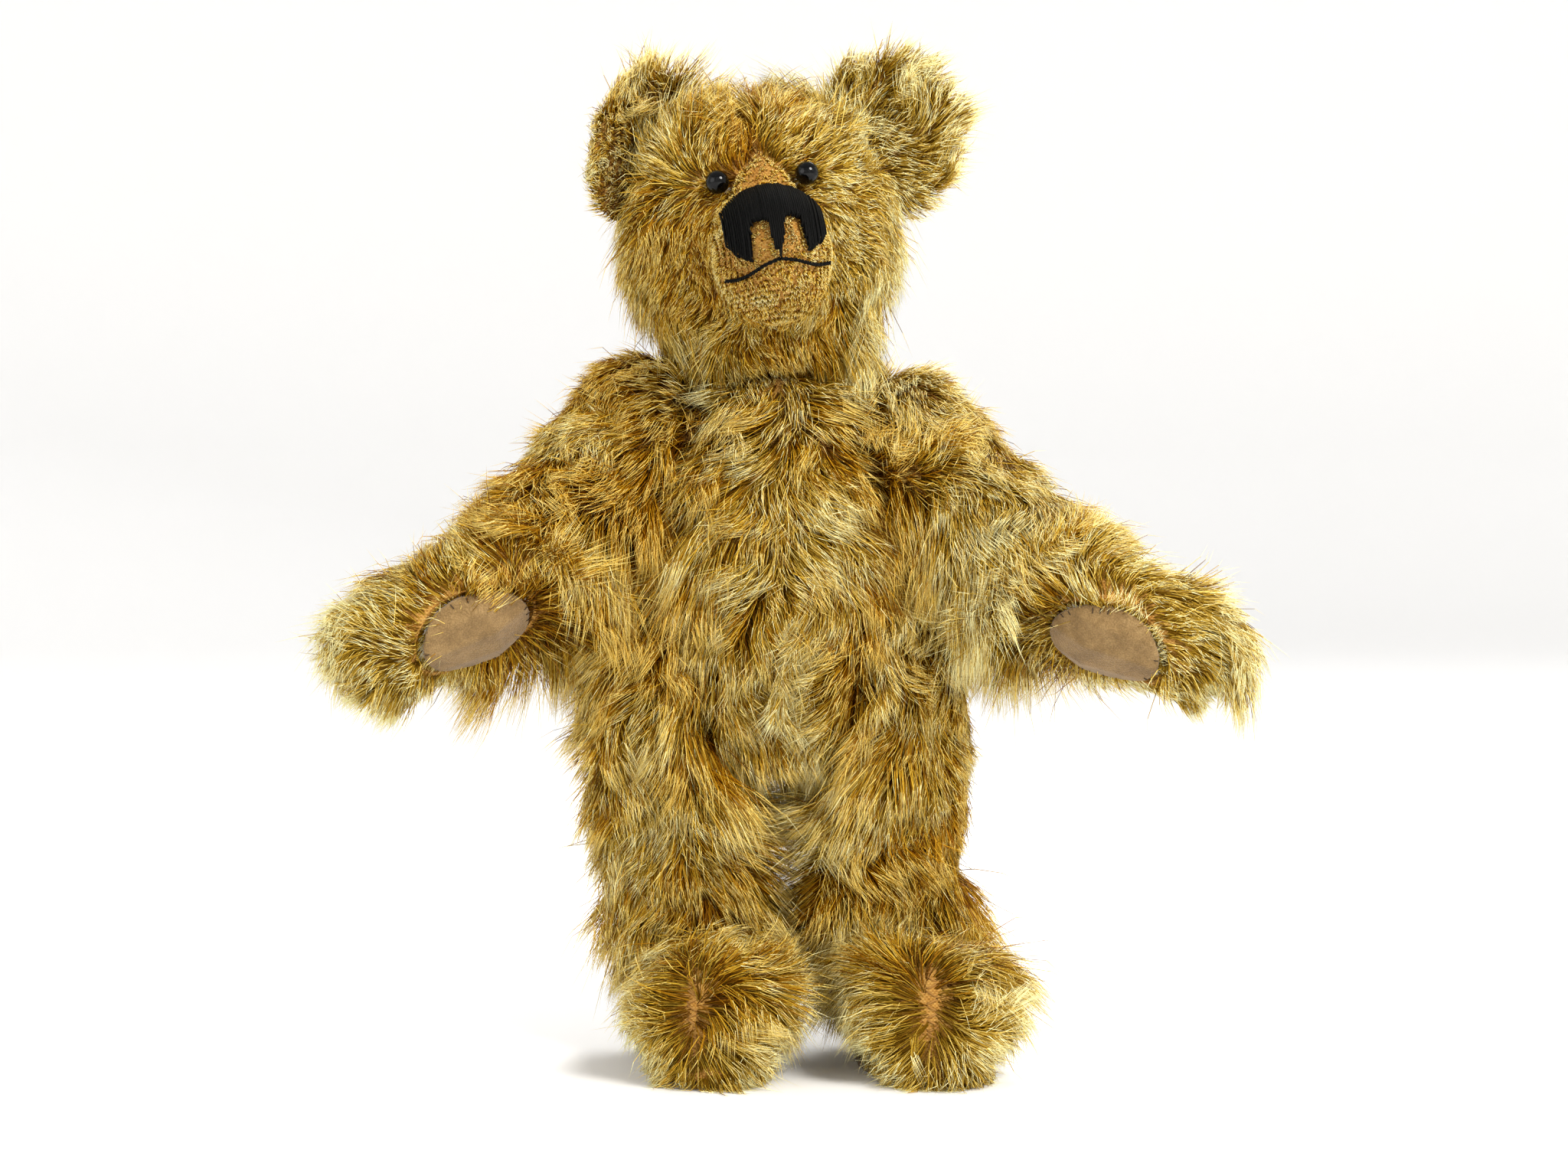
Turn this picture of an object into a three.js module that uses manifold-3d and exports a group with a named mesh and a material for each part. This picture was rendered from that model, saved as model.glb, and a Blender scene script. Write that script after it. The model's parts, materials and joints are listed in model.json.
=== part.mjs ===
// A jointed mohair teddy bear, standing: a plush torso with a head, two arms and two legs, each held to it
// by a disc joint. A disc joint is a hex bolt through two hardboard discs with steel washers, one disc
// inside the limb and one inside the torso, closed by a lock nut, so that the limb turns on the bolt and
// stays where it is put. Millimetres, +Z up. The bear looks along -Y, and its left side is at +X.
import * as THREE from 'three';
import { mergeVertices } from 'three/addons/utils/BufferGeometryUtils.js';
import Module from 'manifold-3d';

const wasm = await Module();
wasm.setup();

// ---- Driving dimensions ---------------------------------------------------------------------------

const GAP = 0.3; // between two pieces that touch
const PLUSH = 4; // woven backing and the dense lower half of its pile
const FABRIC = 1; // the same cloth where a disc presses it flat
const CLIPPED = 1.6; // the cloth on the muzzle, where the pile is clipped short
const FELT = 1.3;

// Where the middle of each joint is, out from the body's middle and above the floor.
const SHOULDER = { left: { out: 18, height: 141.5 }, right: { out: 21.5, height: 147 } };
const SHOULDER_TILT = { left: 35, right: 29 }; // degrees that the joint's axis leans up
const HIP = { out: 19, height: 94 };
const NECK = { out: -2.5, height: 163.5 };
const JOINTS_BACK = -2; // all five joints lie in one upright plane
const HEAD_LEAN = 6.5; // degrees, towards the bear's right shoulder
const HEAD_TURN = 4.5; // degrees, towards the bear's left
const FOOT_TURN = { left: 9, right: -7 }; // degrees that the toes point outwards
const STANCE = 4; // how far the feet stand to the bear's left of the hips

const BOLT_RADIUS = 2;
const HEX_RADIUS = 4.04; // 7 mm across flats
const HEX_HEIGHT = 2.9;
const BOLT_TAIL = 10.5; // how far the bolt reaches into the torso
const DISC = 3; // hardboard
const WASHER = 0.8;
const WASHER_RADIUS = 6;
const DISC_RADIUS = { shoulder: 10, hip: 13, neck: 9.5 };

// Half sizes of the head's round forms, outside the plush, and their middles above the neck joint.
const SKULL = { at: [0, -3, 34.5], half: [32.5, 31, 33.5] };
const MUZZLE = { at: [0, -30, 25], half: [13.8, 24, 15.5] };
const EAR = { half: [18.5, 4.5, 20], cup: 0.013, forward: 2 };
const EAR_AT = { left: [34, 2, 55], right: [-26, 1, 58] };
const EAR_TURN = { left: 16, right: 46 }; // degrees that the outer rim turns to the front
const EAR_LEAN = { left: 0, right: 32 }; // degrees that the top leans in over the head
const EYE = { at: [10.4, -30.6, 43.6], radius: 2.75, looks: [0.28, -0.92, 0.26] };
const SHANK = { wire: 0.45, stem: 3, loop: 1.4 }; // radius of the wire, length, radius of the loop
const EYE_WELL = { radius: 2.3, depth: 9 }; // the channel behind an eye that its shank sits in

const NOSE = { from: 0.4, to: 1.3 }; // how far over the muzzle the satin stitches start and end
const MOUTH = { radius: 0.5, lift: 1 }; // a stitch, and how far over the muzzle its middle lies
// Out, and up from the muzzle's middle.
const MOUTH_PATH = [[0.75, -2.9], [4.6, -4.3], [8.6, -5.6], [11.6, -5.8]];

// A pad's normal is given as forward, up and out of the joint. It is sunk a little into the pile.
const PAW_PAD = { half: [13.5, 10.5], normal: [0.79, -0.19, -0.58], sunk: 2.4 };
const SOLE = { half: [13.8, 28], rise: 1.6 };
const INSOLE = { half: [10.5, 24.5], thick: 1.2 };

// ---- Solids ---------------------------------------------------------------------------------------

// A closed three.js geometry as a solid that can be joined and cut.
function solid(geometry) {
  const bare = new THREE.BufferGeometry().setAttribute('position', geometry.getAttribute('position'));
  bare.setIndex(geometry.index);
  const merged = mergeVertices(bare, 1e-4);
  const triVerts = Uint32Array.from(merged.index.array);
  const vertProperties = merged.getAttribute('position').array;
  const made = new wasm.Manifold(new wasm.Mesh({ numProp: 3, vertProperties, triVerts }));
  if (made.volume() > 0) return made;
  for (let i = 0; i < triVerts.length; i += 3) {
    [triVerts[i + 1], triVerts[i + 2]] = [triVerts[i + 2], triVerts[i + 1]];
  }
  return new wasm.Manifold(new wasm.Mesh({ numProp: 3, vertProperties, triVerts }));
}

// A solid as a named mesh.
function piece(name, made, material) {
  const { vertProperties, triVerts } = made.getMesh();
  const geometry = new THREE.BufferGeometry();
  geometry.setAttribute('position', new THREE.BufferAttribute(vertProperties, 3));
  geometry.setIndex(new THREE.BufferAttribute(triVerts, 1));
  geometry.computeVertexNormals();
  const mesh = new THREE.Mesh(geometry, material);
  mesh.name = name;
  return mesh;
}

const degrees = THREE.MathUtils.degToRad;

// Moves every vertex of a geometry by a function of its place.
function bend(geometry, move) {
  const positions = geometry.getAttribute('position');
  const point = new THREE.Vector3();
  for (let i = 0; i < positions.count; i++) {
    move(point.fromBufferAttribute(positions, i));
    positions.setXYZ(i, point.x, point.y, point.z);
  }
  return geometry;
}

// A round bar along +Z from one height to another.
function bar(radius, from, to, sides = 16) {
  const geometry = new THREE.CylinderGeometry(radius, radius, to - from, sides);
  return solid(geometry.rotateX(Math.PI / 2).translate(0, 0, (from + to) / 2));
}

function block(low, high) {
  const size = high.map((h, i) => h - low[i]);
  return solid(new THREE.BoxGeometry(...size).translate(...low.map((l, i) => l + size[i] / 2)));
}

// A rounded form given by its middle and half sizes, made smaller all round by inset.
function ellipsoid({ at, half }, inset, around = 20, rings = 10) {
  const geometry = new THREE.SphereGeometry(1, around, rings).rotateX(Math.PI / 2);
  return solid(geometry.scale(...half.map((h) => h - inset)).translate(...at));
}

const REACH = 200; // longer than any limb

// ---- Swept limbs ----------------------------------------------------------------------------------

// A limb's form in its joint's frame: round sections along a smooth path, closed by a dome at each end.
// deep is the half size of each section across the joint's axis, and wide its half size along the axis.
function limb(path, deep, wide, inset, coarse = 1) {
  const curve = new THREE.CatmullRomCurve3(path.map((p) => new THREE.Vector3(...p)));
  const length = curve.getLength();
  const at = (list, share) => {
    const place = share * (list.length - 1);
    const low = Math.min(Math.floor(place), list.length - 2);
    return THREE.MathUtils.lerp(list[low], list[low + 1], place - low);
  };
  const profile = [];
  const domeSteps = 3;
  const bodySteps = 5;
  const ends = [at(deep, 0) - inset, at(deep, 1) - inset];
  for (let i = 0; i < domeSteps; i++) {
    const angle = (i / domeSteps) * (Math.PI / 2);
    profile.push(new THREE.Vector2(ends[0] * Math.sin(angle), -ends[0] * Math.cos(angle)));
  }
  for (let i = 0; i <= bodySteps; i++) {
    profile.push(new THREE.Vector2(at(deep, i / bodySteps) - inset, (length * i) / bodySteps));
  }
  for (let i = domeSteps - 1; i >= 0; i--) {
    const angle = (i / domeSteps) * (Math.PI / 2);
    profile.push(new THREE.Vector2(ends[1] * Math.sin(angle), length + ends[1] * Math.cos(angle)));
  }
  const geometry = new THREE.LatheGeometry(profile, 14 / coarse);
  const axis = new THREE.Vector3(0, 0, 1);
  return solid(bend(geometry, (p) => {
    const along = THREE.MathUtils.clamp(p.y, 0, length);
    const share = along / length;
    const tangent = curve.getTangentAt(share);
    const across = axis.clone().addScaledVector(tangent, -axis.dot(tangent)).normalize();
    const third = across.clone().cross(tangent);
    const thin = (at(wide, share) - inset) / (at(deep, share) - inset);
    const { x, y, z } = p;
    p.copy(curve.getPointAt(share)).addScaledVector(tangent, y - along);
    p.addScaledVector(across, x * thin).addScaledVector(third, z);
  }));
}

// ---- Disc joints ----------------------------------------------------------------------------------
// In a joint's frame +Z is the joint's axis, out of the torso into the limb, and z = 0 lies midway
// between the two cloths.

// Where each piece of the stack starts, counted from the middle of the joint.
const DISC_AT = 2 * GAP + FABRIC;
const WASHER_AT = DISC_AT + DISC + GAP;
const HEX_AT = WASHER_AT + WASHER + GAP;

function seatRadius(kind) {
  return DISC_RADIUS[kind] + GAP + FABRIC;
}

const BOSS_REACH = 13; // how far a stub reaches into the form behind it

// What a limb or the torso needs at a joint, as functions of direction: 1 into the limb, -1 the torso.
const span = (direction, from, to) => (direction > 0 ? [from, to] : [-to, -from]);

// A stub that carries the cloth from the form to its flat seat.
function boss(kind, direction, inset) {
  return bar(seatRadius(kind) - inset, ...span(direction, GAP + inset, BOSS_REACH));
}

// Room in the stuffing for the disc, washer and bolt.
function hardwareRoom(kind, direction) {
  const disc = bar(DISC_RADIUS[kind] + GAP, ...span(direction, -1, HEX_AT));
  return disc.add(bar(WASHER_RADIUS + GAP, ...span(direction, 0, BOLT_TAIL + GAP)));
}

const boltHole = () => bar(BOLT_RADIUS + GAP, -2 * BOLT_TAIL, 2 * BOLT_TAIL, 8);

function ring(radius, height, sides) {
  return bar(radius, 0, height, sides).subtract(boltHole());
}

function hardware(joint, kind, place) {
  const disc = ring(DISC_RADIUS[kind], DISC, 16);
  const washer = ring(WASHER_RADIUS, WASHER, 12);
  const bolt = bar(HEX_RADIUS, HEX_AT, HEX_AT + HEX_HEIGHT, 6).add(bar(BOLT_RADIUS, -BOLT_TAIL, HEX_AT, 8));
  const put = (name, made, material, z = 0) => {
    const mesh = piece(`${joint}_${name}`, made, material);
    mesh.position.z = z;
    mesh.updateMatrix();
    mesh.applyMatrix4(place);
    return mesh;
  };
  const limbSide = [
    put('bolt', bolt, STEEL),
    put('lock_nut', ring(HEX_RADIUS, HEX_HEIGHT, 6), STEEL, -HEX_AT - HEX_HEIGHT),
    put('limb_disc', disc, HARDBOARD, DISC_AT),
    put('limb_washer', washer, STEEL, WASHER_AT),
  ];
  const torsoSide = [
    put('torso_disc', disc, HARDBOARD, -DISC_AT - DISC),
    put('torso_washer', washer, STEEL, -WASHER_AT - WASHER),
  ];
  return { limbSide, torsoSide };
}

// The frame of a limb's joint: +Z out along the axis, +Y up the torso.
function sideFrame(side, { out, height }, tilt) {
  const lean = degrees(tilt);
  const axis = new THREE.Vector3(side * Math.cos(lean), 0, Math.sin(lean));
  const up = new THREE.Vector3(-side * Math.sin(lean), 0, Math.cos(lean));
  const frame = new THREE.Matrix4().makeBasis(up.clone().cross(axis), up, axis);
  return frame.setPosition(side * out, JOINTS_BACK, height);
}

const SIDES = { left: 1, right: -1 };
const shoulderFrame = (name) => sideFrame(SIDES[name], SHOULDER[name], SHOULDER_TILT[name]);
const hipFrame = (name) => sideFrame(SIDES[name], HIP, 0);
const neckFrame = () => new THREE.Matrix4().makeTranslation(NECK.out, JOINTS_BACK, NECK.height);

// ---- Materials ------------------------------------------------------------------------------------

const finish = (color, roughness, metalness = 0) =>
  new THREE.MeshStandardMaterial({ color, roughness, metalness });
const MOHAIR = finish(0xc9a35c, 0.9);
const STUFFING = finish(0xe9e4d6, 1);
const BROWN_FELT = finish(0x96754b, 0.95);
const THREAD = finish(0x15140f, 0.8);
const GLASS = finish(0x050505, 0.08);
const HARDBOARD = finish(0x7a5a3a, 0.8);
const CARD = finish(0xb59c74, 0.9);
const STEEL = finish(0xb9bcc0, 0.35, 1);

// ---- Arms -----------------------------------------------------------------------------------------

// Points are forward, up and out of the joint.
const ARM_PATH = [[0, 0, 15.6], [10, -24, 17], [20, -45, 20.5], [28, -64, 27], [32, -76.5, 36]];
const ARM_REACH = { left: 1, right: 0.95 }; // one arm is sewn a little shorter
const ARM_DEEP = [15.2, 16, 18, 18.5, 15];
const ARM_WIDE = [15.3, 15.5, 16.5, 16.5, 14];
const PAD_SHARE = 3; // the path's point under the middle of the pad

const inFrame = (side, [forward, up, out]) => [-side * forward, up, out];

function buildArm(name) {
  const side = SIDES[name];
  const reach = ARM_REACH[name];
  const path = ARM_PATH.map(([forward, up, out]) => inFrame(side, [forward * reach, up * reach, out]));
  const form = (inset, coarse) => limb(path, ARM_DEEP, ARM_WIDE, inset, coarse);
  const hollow = form(PLUSH, 2).add(boss('shoulder', 1, FABRIC));
  const nearSide = block([-REACH, -REACH, -REACH], [REACH, REACH, GAP]);
  const padCutter = pawPadCutter(side, path, 0);
  const shell = form(0).add(boss('shoulder', 1, 0)).subtract(hollow.subtract(nearSide))
    .subtract(nearSide).subtract(padCutter).subtract(boltHole());
  const stuffing = form(PLUSH + GAP, 2).subtract(hardwareRoom('shoulder', 1))
    .subtract(block([-REACH, -REACH, -REACH], [REACH, REACH, DISC_AT]));
  const pad = form(PAW_PAD.sunk).subtract(form(PAW_PAD.sunk + FELT))
    .intersect(pawPadCutter(side, path, -GAP));
  const group = new THREE.Group();
  group.add(
    piece(`arm_${name}_shell`, shell, MOHAIR),
    piece(`arm_${name}_stuffing`, stuffing, STUFFING),
    piece(`arm_${name}_paw_pad`, pad, BROWN_FELT),
  );
  group.applyMatrix4(shoulderFrame(name));
  return group;
}

// An oval bar square to the palm, long way along the arm, from inside the arm to well outside it.
function pawPadCutter(side, path, room) {
  const normal = new THREE.Vector3(...inFrame(side, PAW_PAD.normal)).normalize();
  const middle = new THREE.Vector3(...path[PAD_SHARE]);
  const along = new THREE.Vector3(...path[PAD_SHARE + 1]).sub(middle);
  along.addScaledVector(normal, -along.dot(normal)).normalize();
  const frame = new THREE.Matrix4().makeBasis(along, normal.clone().cross(along), normal);
  const [from, to] = [2, 32];
  const cutter = new THREE.CylinderGeometry(1, 1, to - from, 24).rotateX(Math.PI / 2);
  cutter.scale(PAW_PAD.half[0] + room, PAW_PAD.half[1] + room, 1).translate(0, 0, (from + to) / 2);
  return solid(cutter.applyMatrix4(frame.setPosition(middle)));
}

// ---- Legs -----------------------------------------------------------------------------------------

const LEG_PATH = [[0, 0, 13], [-1.5, -25, 12.6], [-1.5, -45, 6.5], [-1, -62, 5.5], [0, -78, 5.5]];
const LEG_DEEP = [18.5, 17.5, 16.5, 15.5, 15];
const LEG_WIDE = [12.8, 14, 17, 17.4, 15.5];
const FOOT_MIDDLE = 13.5; // height of the foot's centre line
const SEAT_SIDE = 33; // how far below the hip the leg's inner side stays flat
const HEEL = { forward: -1, deep: 16, wide: 15.5 };
const TOE = { forward: 33, deep: 18.5, wide: 17.5 };

function buildLeg(name) {
  const side = SIDES[name];
  const turn = degrees(FOOT_TURN[name]);
  const ankle = LEG_PATH.at(-1);
  const stance = ([forward, up, out]) => [forward, up, out + side * STANCE * (up / ankle[1]) ** 3];
  const footLength = TOE.forward - HEEL.forward;
  const footPoint = (share) => [
    HEEL.forward + footLength * share * Math.cos(turn),
    FOOT_MIDDLE - HIP.height,
    ankle[2] + side * STANCE + footLength * share * Math.sin(turn),
  ];
  const legPath = LEG_PATH.map((p) => inFrame(side, stance(p)));
  const footPath = [0, 0.5, 1].map((share) => inFrame(side, footPoint(share)));
  const form = (inset, coarse) => {
    const foot = limb(footPath, [HEEL.deep, TOE.deep], [HEEL.wide, TOE.wide], inset, coarse);
    return limb(legPath, LEG_DEEP, LEG_WIDE, inset, coarse).add(foot);
  };
  const below = (height) => block([-REACH, -REACH, -REACH], [REACH, height - HIP.height, REACH]);
  // The space beside the seat that is left to the torso. Its lower end slopes down and inwards.
  const beside = (room) => {
    const [near, low] = [GAP + room, -SEAT_SIDE - room];
    const outline = [[near, low], [near, REACH], [-REACH, REACH], [-REACH, low - REACH]];
    const shape = new THREE.Shape(outline.map((p) => new THREE.Vector2(...p)));
    const geometry = new THREE.ExtrudeGeometry(shape, { depth: 2 * REACH, bevelEnabled: false });
    return solid(geometry.rotateY(-Math.PI / 2).translate(REACH, 0, 0));
  };
  const onSole = (half, room, from, to) => {
    const [x, y, z] = inFrame(side, footPoint(0.5));
    const geometry = new THREE.CylinderGeometry(1, 1, to - from, 24).scale(half[1] + room, 1, half[0] + room);
    geometry.rotateY(side * turn).translate(x, (from + to) / 2 - HIP.height, z);
    return solid(geometry);
  };
  const insoleTop = SOLE.rise + GAP + INSOLE.thick;
  const hollow = form(PLUSH, 2).add(boss('hip', 1, FABRIC)).add(onSole(INSOLE.half, GAP, 0, insoleTop + GAP))
    .subtract(beside(FABRIC));
  const shell = form(0).add(boss('hip', 1, 0)).subtract(hollow).subtract(beside(0))
    .subtract(below(SOLE.rise)).subtract(boltHole());
  const stuffing = form(PLUSH + GAP, 2).subtract(hardwareRoom('hip', 1)).subtract(beside(FABRIC + GAP))
    .subtract(below(insoleTop + GAP));
  const group = new THREE.Group();
  group.add(
    piece(`leg_${name}_shell`, shell, MOHAIR),
    piece(`leg_${name}_stuffing`, stuffing, STUFFING),
    piece(`leg_${name}_foot_pad`, onSole(SOLE.half, 0, 0, SOLE.rise - GAP), BROWN_FELT),
    piece(`leg_${name}_insole`, onSole(INSOLE.half, 0, SOLE.rise + GAP, insoleTop), CARD),
  );
  group.applyMatrix4(hipFrame(name));
  return group;
}

// ---- Head -----------------------------------------------------------------------------------------

const mirrored = (side, [x, y, z]) => [side * x, y, z];

function buildHead() {
  const tilt = new THREE.Matrix4().makeRotationY(-degrees(HEAD_LEAN));
  const tilted = (made) => made.transform(tilt.toArray());
  const form = (plush, clipped, coarse = 1) => {
    const skull = ellipsoid(SKULL, plush, 20 / coarse, 10 / coarse);
    return tilted(skull.add(ellipsoid(MUZZLE, clipped, 16 / coarse, 8 / coarse)));
  };
  const outside = form(0, 0).add(boss('neck', 1, 0));
  const below = (height) => block([-REACH, -REACH, -REACH], [REACH, REACH, height]);
  const hollow = form(PLUSH, CLIPPED, 2).add(boss('neck', 1, FABRIC)).subtract(below(GAP + FABRIC));
  let shell = outside.subtract(hollow).subtract(below(GAP)).subtract(boltHole());
  let stuffing = form(PLUSH + GAP, CLIPPED + GAP, 2).subtract(hardwareRoom('neck', 1))
    .subtract(below(DISC_AT));
  const group = new THREE.Group();
  for (const [name, side] of Object.entries(SIDES)) {
    const room = tilted(eyeRoom(side));
    shell = shell.subtract(room);
    stuffing = stuffing.subtract(room);
    group.add(
      piece(`eye_${name}`, tilted(eyeBead(side)), GLASS),
      piece(`eye_shank_${name}`, tilted(eyeShank(side)), STEEL),
      piece(`ear_${name}`, tilted(ear(name).subtract(ellipsoid(SKULL, -GAP))), MOHAIR),
      piece(`mouth_stitch_${name}`, tilted(mouthStitch(side)), THREAD),
    );
  }
  group.add(
    piece('head_shell', shell, MOHAIR),
    piece('head_stuffing', stuffing, STUFFING),
    piece('nose_embroidery', tilted(nose()), THREAD),
  );
  const turn = new THREE.Matrix4().makeRotationZ(degrees(HEAD_TURN));
  group.applyMatrix4(neckFrame().multiply(turn));
  return group;
}

// The way an eye looks, out of the head.
const eyeAxis = (side) => new THREE.Vector3(...mirrored(side, EYE.looks)).normalize();

function alongEye(side, geometry) {
  const turn = new THREE.Quaternion().setFromUnitVectors(new THREE.Vector3(0, 1, 0), eyeAxis(side));
  return geometry.applyQuaternion(turn).translate(...mirrored(side, EYE.at));
}

function eyeBead(side) {
  return solid(alongEye(side, new THREE.SphereGeometry(EYE.radius, 12, 8)));
}

// A wire stem with a loop that the fixing thread goes through.
function eyeShank(side) {
  const start = EYE.radius + GAP;
  const stem = new THREE.CylinderGeometry(SHANK.wire, SHANK.wire, SHANK.stem, 6);
  stem.translate(0, -start - SHANK.stem / 2, 0);
  const loop = new THREE.TorusGeometry(SHANK.loop, SHANK.wire, 5, 10);
  loop.translate(0, -start - SHANK.stem - SHANK.loop + SHANK.wire / 2, 0);
  return solid(alongEye(side, stem)).add(solid(alongEye(side, loop)));
}

function eyeRoom(side) {
  const socket = solid(alongEye(side, new THREE.SphereGeometry(EYE.radius + GAP, 12, 8)));
  const well = new THREE.CylinderGeometry(EYE_WELL.radius, EYE_WELL.radius, EYE_WELL.depth, 8);
  well.translate(0, -EYE.radius - EYE_WELL.depth / 2, 0);
  return socket.add(solid(alongEye(side, well)));
}

// A cupped oval that opens forwards, with its outer rim turned towards the front.
function ear(name) {
  const geometry = new THREE.SphereGeometry(1, 16, 8).rotateX(Math.PI / 2);
  geometry.rotateX(Math.PI / 2).scale(...EAR.half);
  bend(geometry, (p) => {
    p.y -= EAR.cup * (p.x * p.x + p.z * p.z) - EAR.forward;
  });
  geometry.rotateZ(-SIDES[name] * degrees(EAR_TURN[name]));
  geometry.rotateY(-SIDES[name] * degrees(EAR_LEAN[name])).translate(...EAR_AT[name]);
  return solid(geometry);
}

// How far forward the muzzle's surface lies, at a place seen from the front.
function muzzleFront(x, z, outset) {
  const [a, b, c] = MUZZLE.half.map((h) => h + outset);
  const rest = 1 - (x / a) ** 2 - ((z - MUZZLE.at[2]) / c) ** 2;
  return MUZZLE.at[1] - b * Math.sqrt(Math.max(rest, 0));
}

// Satin stitch, drawn out and up from the muzzle's middle: from the foot of the bar between the nostrils, round
// the open notch beside it, down to the point at that side, and up round the outside to the middle of the top.
// It is sewn by hand, so the two sides differ.
const NOSE_SIDES = {
  left: [
    [0.2, -0.6], [1, 1.2], [1.8, 6.2], [3.7, 7.2], [5.6, 5.8], [6.1, 1.9], [6.6, -1.2], [9.2, 0.4],
    [11.2, 3.2], [11.6, 6.2], [10.4, 9.8], [7, 12.9], [3.2, 14.5], [0, 14.8],
  ],
  right: [
    [1, -0.6], [1.3, 3], [1.7, 6], [3.3, 6.5], [5, 6.2], [5.8, 4.4], [5.9, -2.1], [8.7, -0.8],
    [10.7, 2.6], [11.3, 6.4], [10.6, 9.4], [8, 12.6], [4, 14.5],
  ],
};

function nose() {
  const right = NOSE_SIDES.right.map(([out, up]) => new THREE.Vector2(-out, up)).reverse();
  const whole = new THREE.Shape([...NOSE_SIDES.left.map((p) => new THREE.Vector2(...p)), ...right]);
  const [depth, behind] = [22, 6];
  const cutter = new THREE.ExtrudeGeometry(whole, { depth, bevelEnabled: false });
  // The extrusion runs from inside the muzzle out past its tip.
  cutter.rotateX(Math.PI / 2).translate(0, MUZZLE.at[1] - behind, MUZZLE.at[2]);
  const layer = ellipsoid(MUZZLE, -NOSE.to, 20, 12).subtract(ellipsoid(MUZZLE, -NOSE.from, 20, 12));
  return layer.intersect(solid(cutter));
}

// One long stitch over the muzzle, from under the nose to the corner of the mouth.
function mouthStitch(side) {
  const path = MOUTH_PATH.map(([x, up]) => {
    const z = MUZZLE.at[2] + up;
    return new THREE.Vector3(side * x, muzzleFront(x, z, MOUTH.lift), z);
  });
  const section = new THREE.Shape().absellipse(0, 0, MOUTH.radius, MOUTH.radius, 0, 2 * Math.PI);
  const extrudePath = new THREE.CatmullRomCurve3(path);
  return solid(new THREE.ExtrudeGeometry(section, { steps: 8, curveSegments: 3, extrudePath }));
}

// ---- Torso ----------------------------------------------------------------------------------------

// Radius and height of the torso's outline, from the crotch to the neck.
const TORSO_OUTLINE = [
  [0, 71], [9, 72.5], [17, 80], [22.5, 93], [26.5, 108],
  [28, 121], [26, 134], [21.5, 146], [16, 156], [12.6, 162],
];
const TORSO_DEPTH = 0.95; // front to back, as a share of the width
const TORSO_FORWARD = 1; // how far its middle lies in front of the body's
const BELLY = { forward: 3.5, height: 115, spread: 24 };

function torsoForm(inset, coarse = 1) {
  const domeRise = 1;
  const [low, high] = [TORSO_OUTLINE[0][1], TORSO_OUTLINE.at(-1)[1] + domeRise];
  const curve = new THREE.SplineCurve(TORSO_OUTLINE.map(([r, z]) => new THREE.Vector2(r, z)));
  const profile = [...curve.getPoints(10 / coarse), new THREE.Vector2(0, high)].map(({ x, y }) => {
    const share = (2 * (y - low)) / (high - low) - 1;
    return new THREE.Vector2(Math.max(x - inset, 0), y - inset * share);
  });
  const geometry = new THREE.LatheGeometry(profile, 20 / coarse).rotateX(Math.PI / 2);
  return solid(bend(geometry, (p) => {
    const bulge = Math.exp(-(((p.z - BELLY.height) / BELLY.spread) ** 2));
    p.y = p.y * TORSO_DEPTH - TORSO_FORWARD - BELLY.forward * bulge;
    p.x += (NECK.out * Math.max(p.z - HIP.height, 0)) / (NECK.height - HIP.height);
  }));
}

const JOINTS = [
  { name: 'neck', kind: 'neck', frame: neckFrame(), sweep: 0 },
  ...Object.keys(SIDES).flatMap((name) => [
    { name: `shoulder_${name}`, kind: 'shoulder', frame: shoulderFrame(name), sweep: ARM_DEEP[0] + GAP },
    { name: `hip_${name}`, kind: 'hip', frame: hipFrame(name), sweep: LEG_DEEP[0] + GAP },
  ]),
];

// The room that a limb swings through beside the torso: everything outside its seat, up to its own top.
function swingRoom({ kind, sweep }, inset) {
  if (kind === 'neck') return block([-REACH, -REACH, -GAP - inset], [REACH, REACH, REACH]);
  return block([-REACH, -REACH, -GAP - inset], [REACH, sweep, REACH]);
}

function buildTorso() {
  const placed = (joint, made) => made.transform(joint.frame.toArray());
  let outside = torsoForm(0);
  let hollow = torsoForm(PLUSH, 2);
  let stuffing = torsoForm(PLUSH + GAP, 2);
  for (const joint of JOINTS) {
    outside = outside.add(placed(joint, boss(joint.kind, -1, 0)));
    hollow = hollow.add(placed(joint, boss(joint.kind, -1, FABRIC)));
  }
  for (const joint of JOINTS) {
    outside = outside.subtract(placed(joint, swingRoom(joint, 0)));
    hollow = hollow.subtract(placed(joint, swingRoom(joint, FABRIC)));
    stuffing = stuffing.subtract(placed(joint, swingRoom(joint, FABRIC + GAP)));
    stuffing = stuffing.subtract(placed(joint, hardwareRoom(joint.kind, -1)));
  }
  let shell = outside.subtract(hollow);
  for (const joint of JOINTS) shell = shell.subtract(placed(joint, boltHole()));
  const group = new THREE.Group();
  group.add(piece('torso_shell', shell, MOHAIR), piece('torso_stuffing', stuffing, STUFFING));
  return group;
}

// ---- The bear -------------------------------------------------------------------------------------

const bear = new THREE.Group();
bear.add(buildTorso(), buildHead());
for (const name of Object.keys(SIDES)) bear.add(buildArm(name), buildLeg(name));
for (const { name, kind, frame } of JOINTS) {
  const { limbSide, torsoSide } = hardware(name, kind, frame);
  bear.add(...limbSide, ...torsoSide);
}

// The part's origin is the middle of its box, on the floor.
const box = new THREE.Box3().setFromObject(bear, true);
bear.position.copy(box.getCenter(new THREE.Vector3())).negate().setZ(-box.min.z);

export default bear;
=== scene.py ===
"""Looks of a jointed mohair teddy bear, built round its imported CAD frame.

Metres, +Z up. The bear looks along -Y and its left side is at +X. Every stuffed part gets a woven skin made
from its CAD solids, and the long pile grows on that skin as locks of fine tapered fibres, combed the way
the pile of each part lies.
"""

import json
import math

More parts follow.
